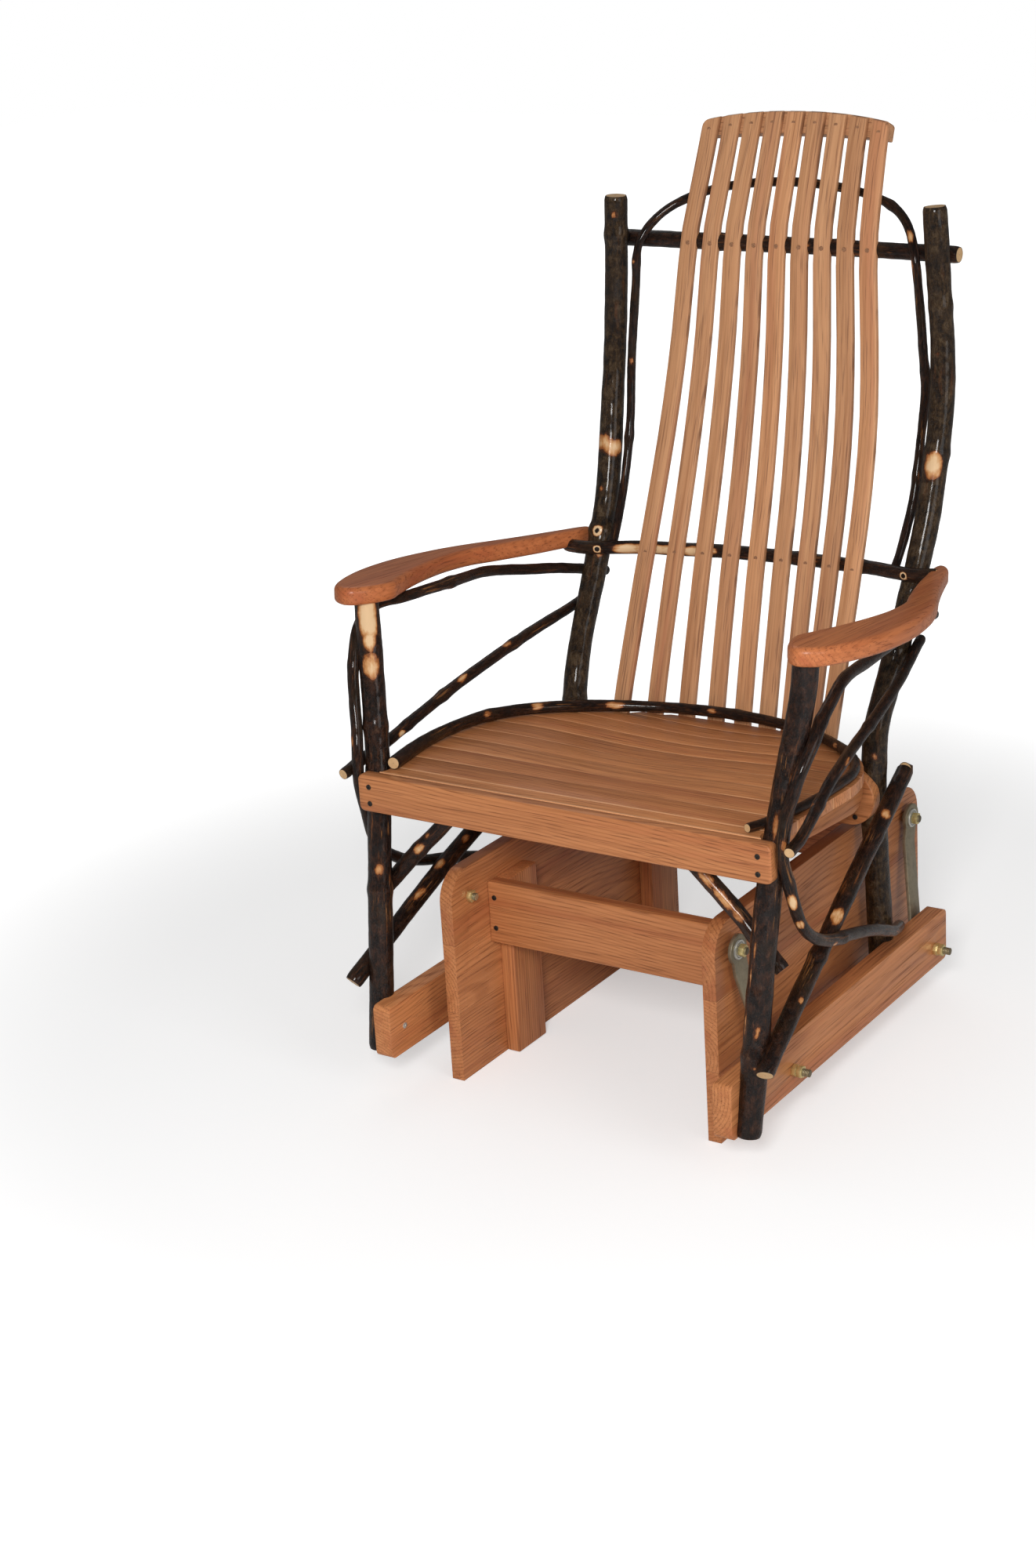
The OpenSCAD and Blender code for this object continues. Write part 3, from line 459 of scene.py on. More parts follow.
def copyNode(node):
    bm = bmesh.new()
    bm.from_mesh(nodes[node].data)
    bmesh.ops.remove_doubles(bm, verts=bm.verts, dist=1e-5)
    return bm


def boxesIn(node):
    bm = copyNode(node)
    boxes = [boxOf(group) for group in islands(bm)]
    bm.free()
    return boxes


# a geometry node tree with named inputs, run once on an object and turned into a plain mesh
class Recipe:
    def __init__(self, name, inputs):
        self.tree = bpy.data.node_groups.new(name, "GeometryNodeTree")
        self.ids = {}
        newSocket = self.tree.interface.new_socket
        newSocket("Geometry", in_out="INPUT", socket_type="NodeSocketGeometry")
        for label, kind, value in inputs:
            item = newSocket(label, in_out="INPUT", socket_type="NodeSocket" + kind)
            if value is not None:
                item.default_value = value
            self.ids[label] = item.identifier
        newSocket("Geometry", in_out="OUTPUT", socket_type="NodeSocketGeometry")
        self.given = self.tree.nodes.new("NodeGroupInput").outputs
        self.finish = self.tree.nodes.new("NodeGroupOutput")

    def add(self, kind, settings={}, sockets={}):
        return addNode(self.tree, kind, settings, sockets).outputs[0]

    def end(self, geometry):
        self.tree.links.new(geometry, self.finish.inputs[0])

    def apply(self, thing, values):
        modifier = thing.modifiers.new("recipe", "NODES")
        modifier.node_group = self.tree
        for label, value in values.items():
            modifier[self.ids[label]] = value
        bpy.context.view_layer.update()
        done = thing.evaluated_get(bpy.context.evaluated_depsgraph_get())
        mesh = bpy.data.meshes.new_from_object(done)
        bpy.data.objects.remove(thing)
        return mesh


def makeStickRecipe():  # sweeps a round, lumpy stick along a path whose radius is the stick's
    r = Recipe("stick", [("Step", "Float", 0.003), ("Sides", "Int", 28), ("Lumps", "Float", 0.002),
                         ("Lumps per metre", "Float", 34.0), ("Seed", "Float", 0.0),
                         ("Bark", "Material", None), ("Cut end", "Material", None)])
    even = r.add("GeometryNodeResampleCurve", {"mode": "LENGTH"},
                 {"Curve": r.given["Geometry"], "Length": r.given["Step"]})
    parameter = r.add("GeometryNodeSplineParameter")
    lengths = r.add("GeometryNodeStoreNamedAttribute", {"data_type": "FLOAT", "domain": "POINT"},
                    {"Geometry": even, "Name": "along", "Value": parameter.node.outputs["Length"]})
    ring = r.add("GeometryNodeCurvePrimitiveCircle", {}, {"Resolution": r.given["Sides"], "Radius": 1.0})
    rings = r.add("GeometryNodeStoreNamedAttribute", {"data_type": "FLOAT_VECTOR", "domain": "POINT"},
                  {"Geometry": ring, "Name": "around", "Value": r.add("GeometryNodeInputPosition")})
    swept = r.add("GeometryNodeCurveToMesh", {},
                  {"Curve": lengths, "Profile Curve": rings, "Scale": r.add("GeometryNodeInputRadius"),
                   "Fill Caps": True})
    seeded = r.add("ShaderNodeVectorMath", {"operation": "ADD"},
                   {0: r.add("GeometryNodeInputPosition"), 1: r.given["Seed"]})
    lump = r.add("ShaderNodeTexNoise", {},
                 {"Vector": seeded, "Scale": r.given["Lumps per metre"], "Detail": 3.0, "Roughness": 0.55})
    middle = r.add("ShaderNodeMath", {"operation": "SUBTRACT"}, {0: lump, 1: 0.5})
    amount = r.add("ShaderNodeMath", {"operation": "MULTIPLY"}, {0: middle, 1: r.given["Lumps"]})
    push = r.add("ShaderNodeVectorMath", {"operation": "SCALE"},
                 {0: r.add("GeometryNodeInputNormal"), "Scale": amount})
    lumpy = r.add("GeometryNodeSetPosition", {}, {"Geometry": swept, "Offset": push})
    isCap = r.add("FunctionNodeCompare", {"data_type": "INT", "operation": "GREATER_THAN"},
                  {2: r.add("GeometryNodeInputMeshFaceNeighbors"), 3: 4})
    real = r.add("GeometryNodeRealizeInstances", {}, {0: lumpy})
    coated = r.add("GeometryNodeSetMaterial", {}, {"Geometry": real, "Material": r.given["Bark"]})
    r.end(r.add("GeometryNodeSetMaterial", {},
                {"Geometry": coated, "Selection": isCap, "Material": r.given["Cut end"]}))
    return r


def makeScatterRecipe():  # sets one part on every point, turned by the point's own angles
    r = Recipe("fasteners", [("Part", "Object", None), ("Size", "Float", 1.0), ("Finish", "Material", None)])
    part = r.add("GeometryNodeObjectInfo", {}, {"Object": r.given["Part"]})
    turn = r.add("GeometryNodeInputNamedAttribute", {"data_type": "FLOAT_VECTOR"}, {"Name": "turn"})
    size = r.add("ShaderNodeCombineXYZ", {}, {k: r.given["Size"] for k in range(3)})
    put = r.add("GeometryNodeInstanceOnPoints", {},
                {"Points": r.given["Geometry"], "Instance": part.node.outputs["Geometry"],
                 "Rotation": r.add("FunctionNodeEulerToRotation", {}, {0: turn}), "Scale": size})
    real = r.add("GeometryNodeRealizeInstances", {}, {0: put})
    r.end(r.add("GeometryNodeSetMaterial", {}, {"Geometry": real, "Material": r.given["Finish"]}))
    return r


stickRecipe = makeStickRecipe()
scatterRecipe = makeScatterRecipe()
print("recipes made")


def flip(points):
    return [(-x, y, z) for x, y, z in points]


def smoothLine(points, per=8):
    n = len(points) - 1
    line = []
    for i in range(n * per + 1):
        k = min(i // per, n - 1)
        t = i / per - k
        a, b, c, d = points[max(k - 1, 0)], points[k], points[k + 1], points[min(k + 2, n)]
        if points[0] == points[n]:  # a closed outline runs on over its start
            a, d = points[(k - 1) % n], points[(k + 2) % n]
        line.append([0.5 * (2 * b[j] + (c[j] - a[j]) * t + (2 * a[j] - 5 * b[j] + 4 * c[j] - d[j]) * t * t
                            + (3 * b[j] - a[j] - 3 * c[j] + d[j]) * t ** 3) for j in range(3)])
    return line


# the sticks' middle lines: points in mm, y from the apron's face
legPoints = [
    (279, -29, 55), (282, -13, 150), (287, 10, 302), (293, 29.5, 407), (304, 48.5, 502), (317, 66.5, 597),
    (321, 71.5, 651)]
postPoints = [
    (233, 438, 58), (233, 429, 190), (233, 418.5, 320), (234, 419, 385), (235, 429, 440), (240, 460, 500),
    (244, 518, 600), (248, 560, 690), (252, 589, 800), (251, 603, 890), (245, 605, 990), (240, 604, 1088)]
bracePoints = [(310, -39, 149), (306, -8, 166), (289, 195, 262), (264, 432, 358), (261, 457, 369)]
kneePoints = [(300, 31, 258), (279, 31, 280), (242, 32, 320), (201, 31, 360), (170, 28, 392)]
bowLow = [
    (259, 439, 150), (285, 365, 176), (299, 283, 212), (308, 205, 239), (314, 133, 260), (317, 80, 286),
    (318, 44, 322), (315, 24, 380), (313, 14, 419), (315, 19, 459), (321, 29, 487), (328, 38, 517)]
bowLeft = [
    (333, 48, 561), (338, 72, 607), (332, 104, 629.3), (318, 150, 629.4), (314, 240, 622.9),
    (314, 325, 615.7), (306, 370, 607.9), (292, 410, 599.6), (278, 455, 590.8), (268, 510, 576.2),
    (263, 567, 559)]
bowRight = [
    (334, 60, 546), (333, 83, 567), (328, 124, 583), (322, 170, 594), (313, 253, 590), (296, 379, 582),
    (281, 440, 577), (267.5, 501, 570), (263, 545, 560)]
twigPoints = [
    (329, 2, 427), (328, 13, 429), (327, 38, 434), (318, 92, 447), (309, 150, 464), (302, 225, 482),
    (294, 310, 498), (283, 395, 514), (266.5, 478, 530), (262, 507, 537)]
rimPoints = [
    (-268, 32, 441.5), (-284, 130, 439), (-284, 220, 434.7), (-274.3, 280.4, 429.9), (-246, 334.2, 424.7),
    (-200.8, 382.1, 419.3), (-142, 422.8, 414.2), (-73.5, 451.5, 410.3), (0, 462, 408.7),
    (73.5, 451.5, 409.8), (142, 422.8, 413.2), (200.8, 382.1, 417.8), (246, 334.2, 422.7),
    (274.3, 280.4, 427.4), (284, 220, 431.7), (284, 130, 436.2), (271, 60, 438.1), (261, 24, 440)]
upperPoints = [(-248, 631.3, 1026), (0, 631.3, 1025), (262, 631.3, 1022)]
middlePoints = [
    (-285, 500.8, 612), (-246, 500.8, 612), (-178, 527.4, 612), (-120, 539.5, 612), (-60, 551.2, 612),
    (0, 555.2, 612.2), (60, 551.8, 613.8), (120, 541, 616.2), (178, 530.3, 619.1), (246, 506.6, 623),
    (285, 507.8, 625.5)]
hoopHalf = [
    (217, 516.3, 620.3), (219, 534.3, 642.3), (223, 567.8, 705.1), (224, 590.1, 780.2), (226, 601.8, 850),
    (222, 604.1, 900.1), (216, 607, 965.3), (209, 608.9, 1022.3), (187, 632.2, 1059), (150, 654, 1081.1),
    (100, 659.8, 1095.1), (45, 662.7, 1102)]
hoopPoints = [(-217, 511.8, 611)] + flip(hoopHalf[1:]) + [(0, 662.9, 1103.8)] + hoopHalf[::-1]

# radii in mm at the start and the end; tone: under a half olive bark, over it brown
# peeled spots: x, y, z, reach, paleness, stretch along the stick
# knots: share of the length, swelling
sticks = {
    "front_leg_left": {
        "line": flip(legPoints), "radii": (16.5, 16), "tone": 0.92,
        "knots": [(0.36, 0.10), (0.62, 0.06), (0.72, 0.08)], "peeled": [(-301, 44, 630, 14, 1.38, 2.0),
            (-298, 40, 600, 9, 1.2, 1.6), (-292, 36, 570, 12, 0.98, 1.6), (-277, -3, 305, 8, 0.75, 1.3),
            (-300, 20, 352, 6, 0.65, 1.5), (-290, -20, 140, 6, 0.65, 2.0)]},
    "front_leg_right": {
        "line": legPoints, "radii": (16.5, 16), "tone": 0.97,
        "knots": [(0.17, 0.09), (0.3, 0.05), (0.62, 0.06)], "peeled": [(303, 15, 452, 6, 0.70, 3.6),
            (298, 10, 400, 4, 0.68, 6.0), (278, -8, 330, 3, 0.72, 9.0), (276, -14, 262, 3, 0.72, 9.0),
            (284, -24, 300, 2.5, 0.7, 12.0), (274, -20, 200, 3, 0.74, 8.0), (296, -25, 195, 5, 0.70, 2.4),
            (290, -26, 150, 6, 0.7, 0.6)]},
    "rear_post_left": {
        "line": flip(postPoints), "radii": (17.5, 16), "tone": 0.11,
        "knots": [(0.56, 0.16), (0.33, 0.08), (0.95, 0.12)], "peeled": [(-250, 560, 750, 17, 0.84, 0.9),
            (-230, 562, 744, 16, 0.90, 0.9), (-246, 540, 690, 4, 0.62, 1.3), (-236, 506, 634, 7, 1.95, 1.1),
            (-234, 505, 604, 7, 0.68, 1.4), (-232, 588, 1062, 6, 0.72, 1.1)]},
    "rear_post_right": {
        "line": postPoints, "radii": (17.5, 16), "tone": 0.17,
        "knots": [(0.45, 0.09), (0.7, 0.1), (0.88, 0.06)], "peeled": [(256, 552, 760, 14, 1.18, 1.35),
            (241, 405, 402, 6, 0.75, 1.2), (250, 578, 900, 4, 0.58, 1.0)]},
    "diagonal_brace_left": {
        "line": flip(bracePoints), "radii": (12, 11.5), "tone": 0.83, "knots": [(0.4, 0.1)],
        "peeled": [(-295, 100, 222, 7, 0.72, 2.2), (-290, 150, 250, 7, 0.80, 1.7),
            (-285, 200, 268, 6, 0.72, 1.6)]},
    "diagonal_brace_right": {
        "line": bracePoints, "radii": (12, 11.5), "tone": 0.88, "knots": [(0.35, 0.12), (0.75, 0.1)],
        "peeled": [(277, 364, 340, 8, 0.95, 1.3), (295, 185, 268, 9, 1.0, 1.8),
            (300, 150, 250, 5, 0.75, 1.4), (306, 60, 204, 5, 0.7, 1.5)]},
    "knee_brace_left": {
        "line": flip(kneePoints), "radii": (10.5, 10.5), "tone": 0.79, "knots": [(0.5, 0.1)],
        "peeled": [(-230, 24, 332, 7, 0.85, 1.8), (-215, 24, 350, 5, 0.7, 1.6)]},
    "knee_brace_right": {
        "line": kneePoints, "radii": (10.5, 10.5), "tone": 0.86, "knots": [(0.3, 0.1)],
        "peeled": [(206, 20, 362, 8, 0.68, 2.6), (226, 20, 342, 9, 0.74, 2.6),
            (246, 20, 322, 7, 0.68, 2.0)]},
    "side_bow_left": {
        "line": flip(bowLow + bowLeft), "radii": (8, 7.5), "tone": 0.72,
        "knots": [(0.2, 0.14), (0.55, 0.10), (0.74, 0.18)], "peeled": [(-312, 37, 324, 6, 0.85, 1.6),
            (-314, 240, 616, 7, 0.70, 3.0), (-300, 390, 603, 6, 0.72, 2.4), (-322, 10, 470, 5, 0.65, 2.0)]},
    "side_bow_right": {
        "line": bowLow + bowRight, "radii": (8, 7.5), "tone": 0.76,
        "knots": [(0.25, 0.14), (0.42, 0.12), (0.6, 0.12)], "peeled": [(322, 20, 352, 7, 1.1, 1.8),
            (320, 40, 318, 7, 0.85, 1.3), (316, 130, 260, 5, 0.85, 1.5), (318, 150, 594, 5, 0.7, 2.0),
            (320, 8, 430, 6, 0.65, 2.4)]},
    "side_twig_left": {
        "line": flip(twigPoints), "radii": (8, 7.5), "tone": 0.69,
        "knots": [(0.25, 0.14), (0.4, 0.12), (0.7, 0.12)], "peeled": [(-314, 110, 452, 5, 1.1, 1.4),
            (-322, 60, 438, 4, 0.7, 1.6), (-300, 240, 486, 7, 0.78, 1.8), (-290, 340, 505, 6, 0.70, 2.0)]},
    "side_twig_right": {
        "line": twigPoints, "radii": (7.5, 7), "tone": 0.65, "knots": [(0.2, 0.15), (0.55, 0.13)],
        "peeled": [(316, 95, 450, 4, 0.75, 1.4), (306, 190, 474, 5, 0.62, 2.0),
            (290, 340, 503, 5, 0.62, 2.0)]},
    "seat_rim": {
        "line": rimPoints, "radii": (9, 6), "tone": 0.81,
        "knots": [(0.2, 0.12), (0.31, 0.10), (0.5, 0.12), (0.7, 0.12)], "peeled": [
            (-272, 261, 437, 7, 0.72, 1.4), (-234, 330, 432, 7, 0.85, 1.5), (-154, 400, 422, 6, 0.90, 2.6),
            (-30, 448, 416, 5, 0.65, 1.8), (196, 372, 424, 5, 0.62, 2.0), (268, 200, 436, 5, 0.62, 2.0)]},
    "upper_stick": {
        "line": upperPoints, "radii": (11.5, 11), "tone": 0.63, "knots": [(0.3, 0.08), (0.66, 0.08)],
        "peeled": [(-100, 620, 1028, 5, 0.65, 1.8), (38, 619, 1027, 9, 0.80, 1.5),
            (66, 620, 1022, 6, 0.70, 1.4)]},
    "middle_stick": {
        "line": middlePoints, "radii": (9.5, 9.5), "tone": 0.67, "knots": [(0.6, 0.1), (0.78, 0.08)],
        "peeled": [(-232, 494, 612, 5.2, 2.5, 1.0), (241, 498, 623, 5.2, 2.5, 1.0),
            (-192, 511, 613, 8, 1.3, 2.6), (-160, 520, 613, 8, 1.4, 3.0), (-128, 527, 613, 8, 1.3, 3.0),
            (-100, 531, 613, 8, 1.2, 2.4), (-72, 537, 614, 6, 0.9, 2.0), (90, 534, 617, 4, 0.62, 2.0)]},
    "back_hoop": {
        "line": hoopPoints, "radii": (6.1, 6.1), "tone": 0.74,
        "knots": [(0.12, 0.14), (0.3, 0.14), (0.62, 0.14), (0.8, 0.14), (0.9, 0.12)], "peeled": [
            (200, 612, 1046, 5, 0.85, 3.2), (208, 602, 1012, 4, 0.66, 3.0), (-222, 590, 860, 4, 0.62, 1.8),
            (-217, 596, 1000, 4, 0.75, 1.0)]},
}
stickLook = {"step": 3.0, "lumps": 0.0020, "thickSides": 28, "thinSides": 20, "thickFrom": 9,
             "wave": 0.035, "waveLengths": (41.0, 97.0), "knotReach": 9.0, "spotScale": 1.25,
             "endCuts": [(0.5, 0.90), (3.5, 0.965)]}  # mm from the end, share of the radius left there


def radiusAt(stick, s, total, seed):
    first, last = stick["radii"]
    short, long = stickLook["waveLengths"]
    radius = first + (last - first) * s / total
    radius *= 1.0 + stickLook["wave"] * math.sin(s / short + seed) * math.sin(s / long + seed * 2.0)
    for share, swell in stick["knots"]:
        radius *= 1.0 + swell * math.exp(-((s - share * total) / stickLook["knotReach"]) ** 2)
    fromEnd = min(s, total - s)
    return radius * next((left for reach, left in stickLook["endCuts"] if fromEnd < reach), 1.0)


def makePath(node, stick, seed):
    line = smoothLine(stick["line"])
    curve = bpy.data.curves.new(node, "CURVE")
    curve.dimensions = "3D"
    spline = curve.splines.new("POLY")
    spans = [0.0]
    for a, b in zip(line, line[1:]):
        spans.append(spans[-1] + math.dist(a, b))
    total = spans[-1]
    samples = int(total / stickLook["step"])
    spline.points.add(samples)
    k = 0
    for i in range(samples + 1):
        s = total * i / samples
        while k < len(spans) - 2 and spans[k + 1] < s:
            k += 1
        t = (s - spans[k]) / max(spans[k + 1] - spans[k], 1e-6)
        p = [line[k][j] + (line[k + 1][j] - line[k][j]) * t for j in range(3)]
        spline.points[i].co = (*place(p), 1.0)
        spline.points[i].radius = radiusAt(stick, s, total, seed) * mm
    return link(node + "_path", curve)


def markPeel(mesh, spots):  # how bare the wood is at each point, highest in the middle of a spot
    peel = mesh.attributes.new("peel", "FLOAT", "POINT")
    travel = mesh.attributes["along"].data
    marks = []
    for x, y, z, reach, pale, stretch in spots:
        c = place((x, y, z))
        nearest = min(range(len(mesh.vertices)), key=lambda i: (mesh.vertices[i].co - c).length_squared)
        marks.append((mesh.vertices[nearest].co.copy(), travel[nearest].value,
                      reach * stickLook["spotScale"] * mm, pale, stretch))
    for i, v in enumerate(mesh.vertices):
        best = 0.0
        for c, start, reach, pale, stretch in marks:
            run = travel[i].value - start
            if abs(run) <= reach * stretch * 1.5:
                aside = max(0.0, (v.co - c).length_squared - run * run)
                best = max(best, pale * (1.0 - (run * run / stretch ** 2 + aside) / reach ** 2))
        peel.data[i].value = best


for seed, (node, stick) in enumerate(sticks.items(), 1):
    thick = stick["radii"][0] > stickLook["thickFrom"]
    mesh = stickRecipe.apply(makePath(node, stick, seed), {
        "Step": stickLook["step"] * mm, "Sides": stickLook["thickSides" if thick else "thinSides"],
        "Lumps": stickLook["lumps"], "Seed": seed * 1.7, "Bark": bark, "Cut end": cutEnd})
    mesh.name = node + "_bark"
    markPeel(mesh, stick["peeled"])
    tone = mesh.attributes.new("tone", "FLOAT", "POINT")
    tone.data.foreach_set("value", [stick["tone"]] * len(mesh.vertices))
    shadeByAngle(mesh, 50)
    finishPiece(link(node + "_bark", mesh), "chair", [node])
print("sticks made:", len(sticks))


def middleLine(bm):  # a slat's middle, x by height, from the rows of its four edges
    rows = {}
    for v in bm.verts:
        rows.setdefault(round(v.co.z, 3), []).append(v.co.x)
    return sorted((z, (min(row) + max(row)) / 2) for z, row in rows.items() if len(row) >= 4)


def onLine(line, z):
    if z <= line[0][0]:
        return line[0][1]
    for a, b in zip(line, line[1:]):
        if z <= b[0]:
            return a[1] + (b[1] - a[1]) * (z - a[0]) / (b[0] - a[0])
    return line[-1][1]


grainOf = {"x": lambda p: (p.x, p.z, p.y), "y": lambda p: (p.y, p.z, p.x), "z": lambda p: (p.z, p.x, p.y),
           "seat": lambda p: (p.x, p.y, p.z * 0.25)}
cornerLook = {"round": 0.008, "fromTop": 0.014, "fromMiddle": 0.1375}  # metres, the last two for the slats


def board(node, name, material, body, edge, steps, angle, seed, grain="x", corner=None):
    bm = copyNode(node)
    bmesh.ops.dissolve_limit(bm, angle_limit=math.radians(0.6), verts=bm.verts, edges=bm.edges)
    line = middleLine(bm) if grain == "slat" else None
    if corner:
        roundOff(bm, [e for e in bm.edges if corner(e)], cornerLook["round"], 4)
    sharp = [e for e in bm.edges if len(e.link_faces) == 2 and e.calc_face_angle(0.0) > math.radians(angle)]
    roundOff(bm, sharp, edge, steps)
    tone = bm.verts.layers.float.new("tone")  # each solid's own shade, 0 to 1
    local = bm.verts.layers.float_vector.new("grain")  # along the grain, across it, into the board
    # the seat oak paints a highlight along each slat's front edge from this layer
    highlightBand = bm.verts.layers.float.new("edge")  # metres behind the solid's front
    for count, group in enumerate(islands(bm), 1):
        value = math.sin(12.9898 * (seed * 31 + count)) * 437.585 % 1.0  # mixed up, but the same each run
        low, high = boxOf(group)
        for v in group:
            v[tone] = value
            v[highlightBand] = v.co.y - low.y
            if line:
                v[local] = (v.co.z, v.co.x - onLine(line, v.co.z), 0.004)
            else:
                v[local] = grainOf[grain](v.co - (low + high) / 2)
    splitLongFaces(bm)
    mesh = toMesh(bm, name, 24)
    mesh.materials.append(material)
    finishPiece(link(name, mesh), body, [node])


def parallel(axis, where=None):  # picks the edges along one axis, at the wanted places
    others = [k for k in range(3) if k != axis]

    def test(e):
        d = e.verts[0].co - e.verts[1].co
        flat = all(abs(d[k]) < 1e-4 for k in others) and abs(d[axis]) > 1e-3
        return flat and (where is None or where(e.verts[0].co))
    return test


def boardEnds(node):
    near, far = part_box(node)
    return parallel(0, lambda p: min(abs(p.y - near.y), abs(p.y - far.y)) < 0.001)


def slatCorner(side):  # the outer top corner of the first or the last back slat
    high = cadBox[1][2] - cornerLook["fromTop"]
    return lambda e: all(v.co.z > high and v.co.x * side > cornerLook["fromMiddle"] for v in e.verts)


# for each body: node, oak, grain, rounding of the edges in metres
boards = {
    "base": [("base_panel_left", "panel", "y", 0.0045), ("base_panel_right", "panel", "y", 0.0045),
             ("base_front_rail", "red", "x", 0.003), ("base_rear_rail", "red", "x", 0.003),
             ("base_cleats", "red", "z", 0.0025)],
    "chair": [("side_board_left", "red", "y", 0.0035), ("side_board_right", "red", "y", 0.0035),
              ("seat_apron", "red", "x", 0.0035), ("seat_rail_left", "red", "y", 0.003),
              ("seat_rail_right", "red", "y", 0.003), ("rear_seat_board", "red", "x", 0.003),
              ("seat_slats", "seat", "seat", 0.0022), ("crest_rail", "slat", "x", 0.0022)]
             + [("back_slat_%d" % i, "slat", "slat", 0.0014) for i in range(1, 10)],
}
corners = {"seat_apron": parallel(1), "side_board_left": boardEnds("side_board_left"),
           "side_board_right": boardEnds("side_board_right"), "back_slat_1": slatCorner(-1),
           "back_slat_9": slatCorner(1)}
seed = 3
for body, group in boards.items():
    for node, kind, grain, edge in group:
        seed += 1
        board(node, node + "_oak", oak[kind], body, edge, 3, 28, seed, grain, corners.get(node))
board("back_pegs", "back_pegs_oak", peg, "chair", 0.0004, 1, 40, 2)

# the right arm from above, in mm from its front leg; the outline runs to the right at the front
armShape = {
    "points": [
        (14, -36), (35, -20), (53, 24), (65, 84), (66, 154), (55, 224), (39, 278), (14, 338), (-5, 388),
        (-21, 434), (-33, 468), (-43, 478), (-53, 473), (-51, 448), (-42, 414), (-31, 368), (-9, 296),
        (5, 254), (9, 204), (5, 158), (-5, 104), (-19, 54), (-27, 28), (-25, 8), (-16, -16), (-3, -33),
        (14, -36)],
    "thick": 24.0, "topRound": 8.0, "lowRound": 6.0, "slope": 4.8, "front": (321.0, 71.5, 669.0),
    "shades": {"arm_left": 0.32, "arm_right": 0.61},
}


def makeArm(name, side):
    outline = smoothLine([(x, y, 0) for x, y in armShape["points"]], 6)[:-1]
    n = len(outline)
    inwards = []
    for i in range(n):
        a, b = outline[i - 2], outline[(i + 2) % n]
        d = Vector((b[0] - a[0], b[1] - a[1]))
        d.normalize()
        inwards.append((-d.y, d.x))
    t, top, low = armShape["thick"], armShape["topRound"], armShape["lowRound"]
    section = [(low * (1 - math.sin(a)), -t + low * (1 - math.cos(a)))
               for a in [math.pi / 2 * k / 5 for k in range(6)]]
    section += [(top * (1 - math.cos(a)), -top + top * math.sin(a))
                for a in [math.pi / 2 * k / 6 for k in range(7)]]
    lean = math.radians(armShape["slope"])
    fx, fy, fz = armShape["front"]
    bm = bmesh.new()
    tone = bm.verts.layers.float.new("tone")
    local = bm.verts.layers.float_vector.new("grain")
    rings = []
    for inset, z in section:
        row = []
        for p, q in zip(outline, inwards):
            x, y = p[0] + q[0] * inset, p[1] + q[1] * inset
            v = bm.verts.new(place((side * (fx + x), fy + y * math.cos(lean) + z * math.sin(lean),
                                    fz - y * math.sin(lean) + z * math.cos(lean))))
            v[tone] = armShape["shades"][name]
            v[local] = (y * mm, x * mm, z * mm)
            row.append(v)
        rings.append(row)
    for a, b in zip(rings, rings[1:]):
        bridge(bm, a, b)
    bm.faces.new(rings[0])
    bm.faces.new(rings[-1])
    splitLongFaces(bm)
    bmesh.ops.recalc_face_normals(bm, faces=bm.faces)
    mesh = toMesh(bm, name + "_oak", 40)
    mesh.materials.append(oak["arm"])
    finishPiece(link(name + "_oak", mesh), "chair", [name])


makeArm("arm_left", -1)
makeArm("arm_right", 1)
print("boards made")

linkBodies = ["link_%s_%s" % (end, hand) for end in ("front", "rear") for hand in ("left", "right")]
for body in linkBodies:
    board(body, body + "_plate", metal["galvanizedSteel"], body, 0.0005, 2, 28, 5)


def lathe(name, profile, sides=40):  # a ring about the x axis from its closed section
    bm = bmesh.new()
    rings = [ringOf(bm, x, r, sides) for x, r in profile]
    for a, b in zip(rings, rings[1:] + rings[:1]):
        bridge(bm, a, b)
    bmesh.ops.recalc_face_normals(bm, faces=bm.faces)
    return toMesh(bm, name, 35)


def scatter(name, part, spots, material, body, replaced=()):
    source = link(name + "_one", part)
    points = bpy.data.meshes.new(name + "_points")
    points.from_pydata([spot for spot, turn in spots], [], [])
    turns = points.attributes.new("turn", "FLOAT_VECTOR", "POINT")
    for i, (spot, turn) in enumerate(spots):
        turns.data[i].vector = turn
    mesh = scatterRecipe.apply(link(name + "_points", points), {"Part": source, "Finish": material})
    bpy.data.objects.remove(source)
    mesh.name = name
    finishPiece(link(name, mesh), body, replaced)


nutLook = {"across": 0.0152, "depth": 0.007, "round": 0.0007, "turn": 0.35}  # turn: from one nut to the next


def nutForm():
    half, r = nutLook["depth"] / 2, nutLook["across"] / math.sqrt(3)
    bm = bmesh.new()
    rear, front = ringOf(bm, -half, r, 6), ringOf(bm, half, r, 6)
    bridge(bm, rear, front)
    bm.faces.new(front)
    bm.faces.new(rear[::-1])
    roundOff(bm, list(bm.edges), nutLook["round"], 2)
    bmesh.ops.recalc_face_normals(bm, faces=bm.faces)
    return toMesh(bm, "nut", 30)


def centres(node):
    return [(low + high) / 2 for low, high in boxesIn(node)]


for where, body in (("upper", "base"), ("lower", "chair")):
    node = where + "_pivot_nuts"
    spots = [(c, (nutLook["turn"] * i, 0, 0)) for i, c in enumerate(centres(node))]
    scatter(where + "_nuts_zinc", nutForm(), spots, metal["yellowZinc"], body, [node])
    board(where + "_pivot_bolts", where + "_bolts_steel", thread, body, 0.0006, 2, 40, 1)

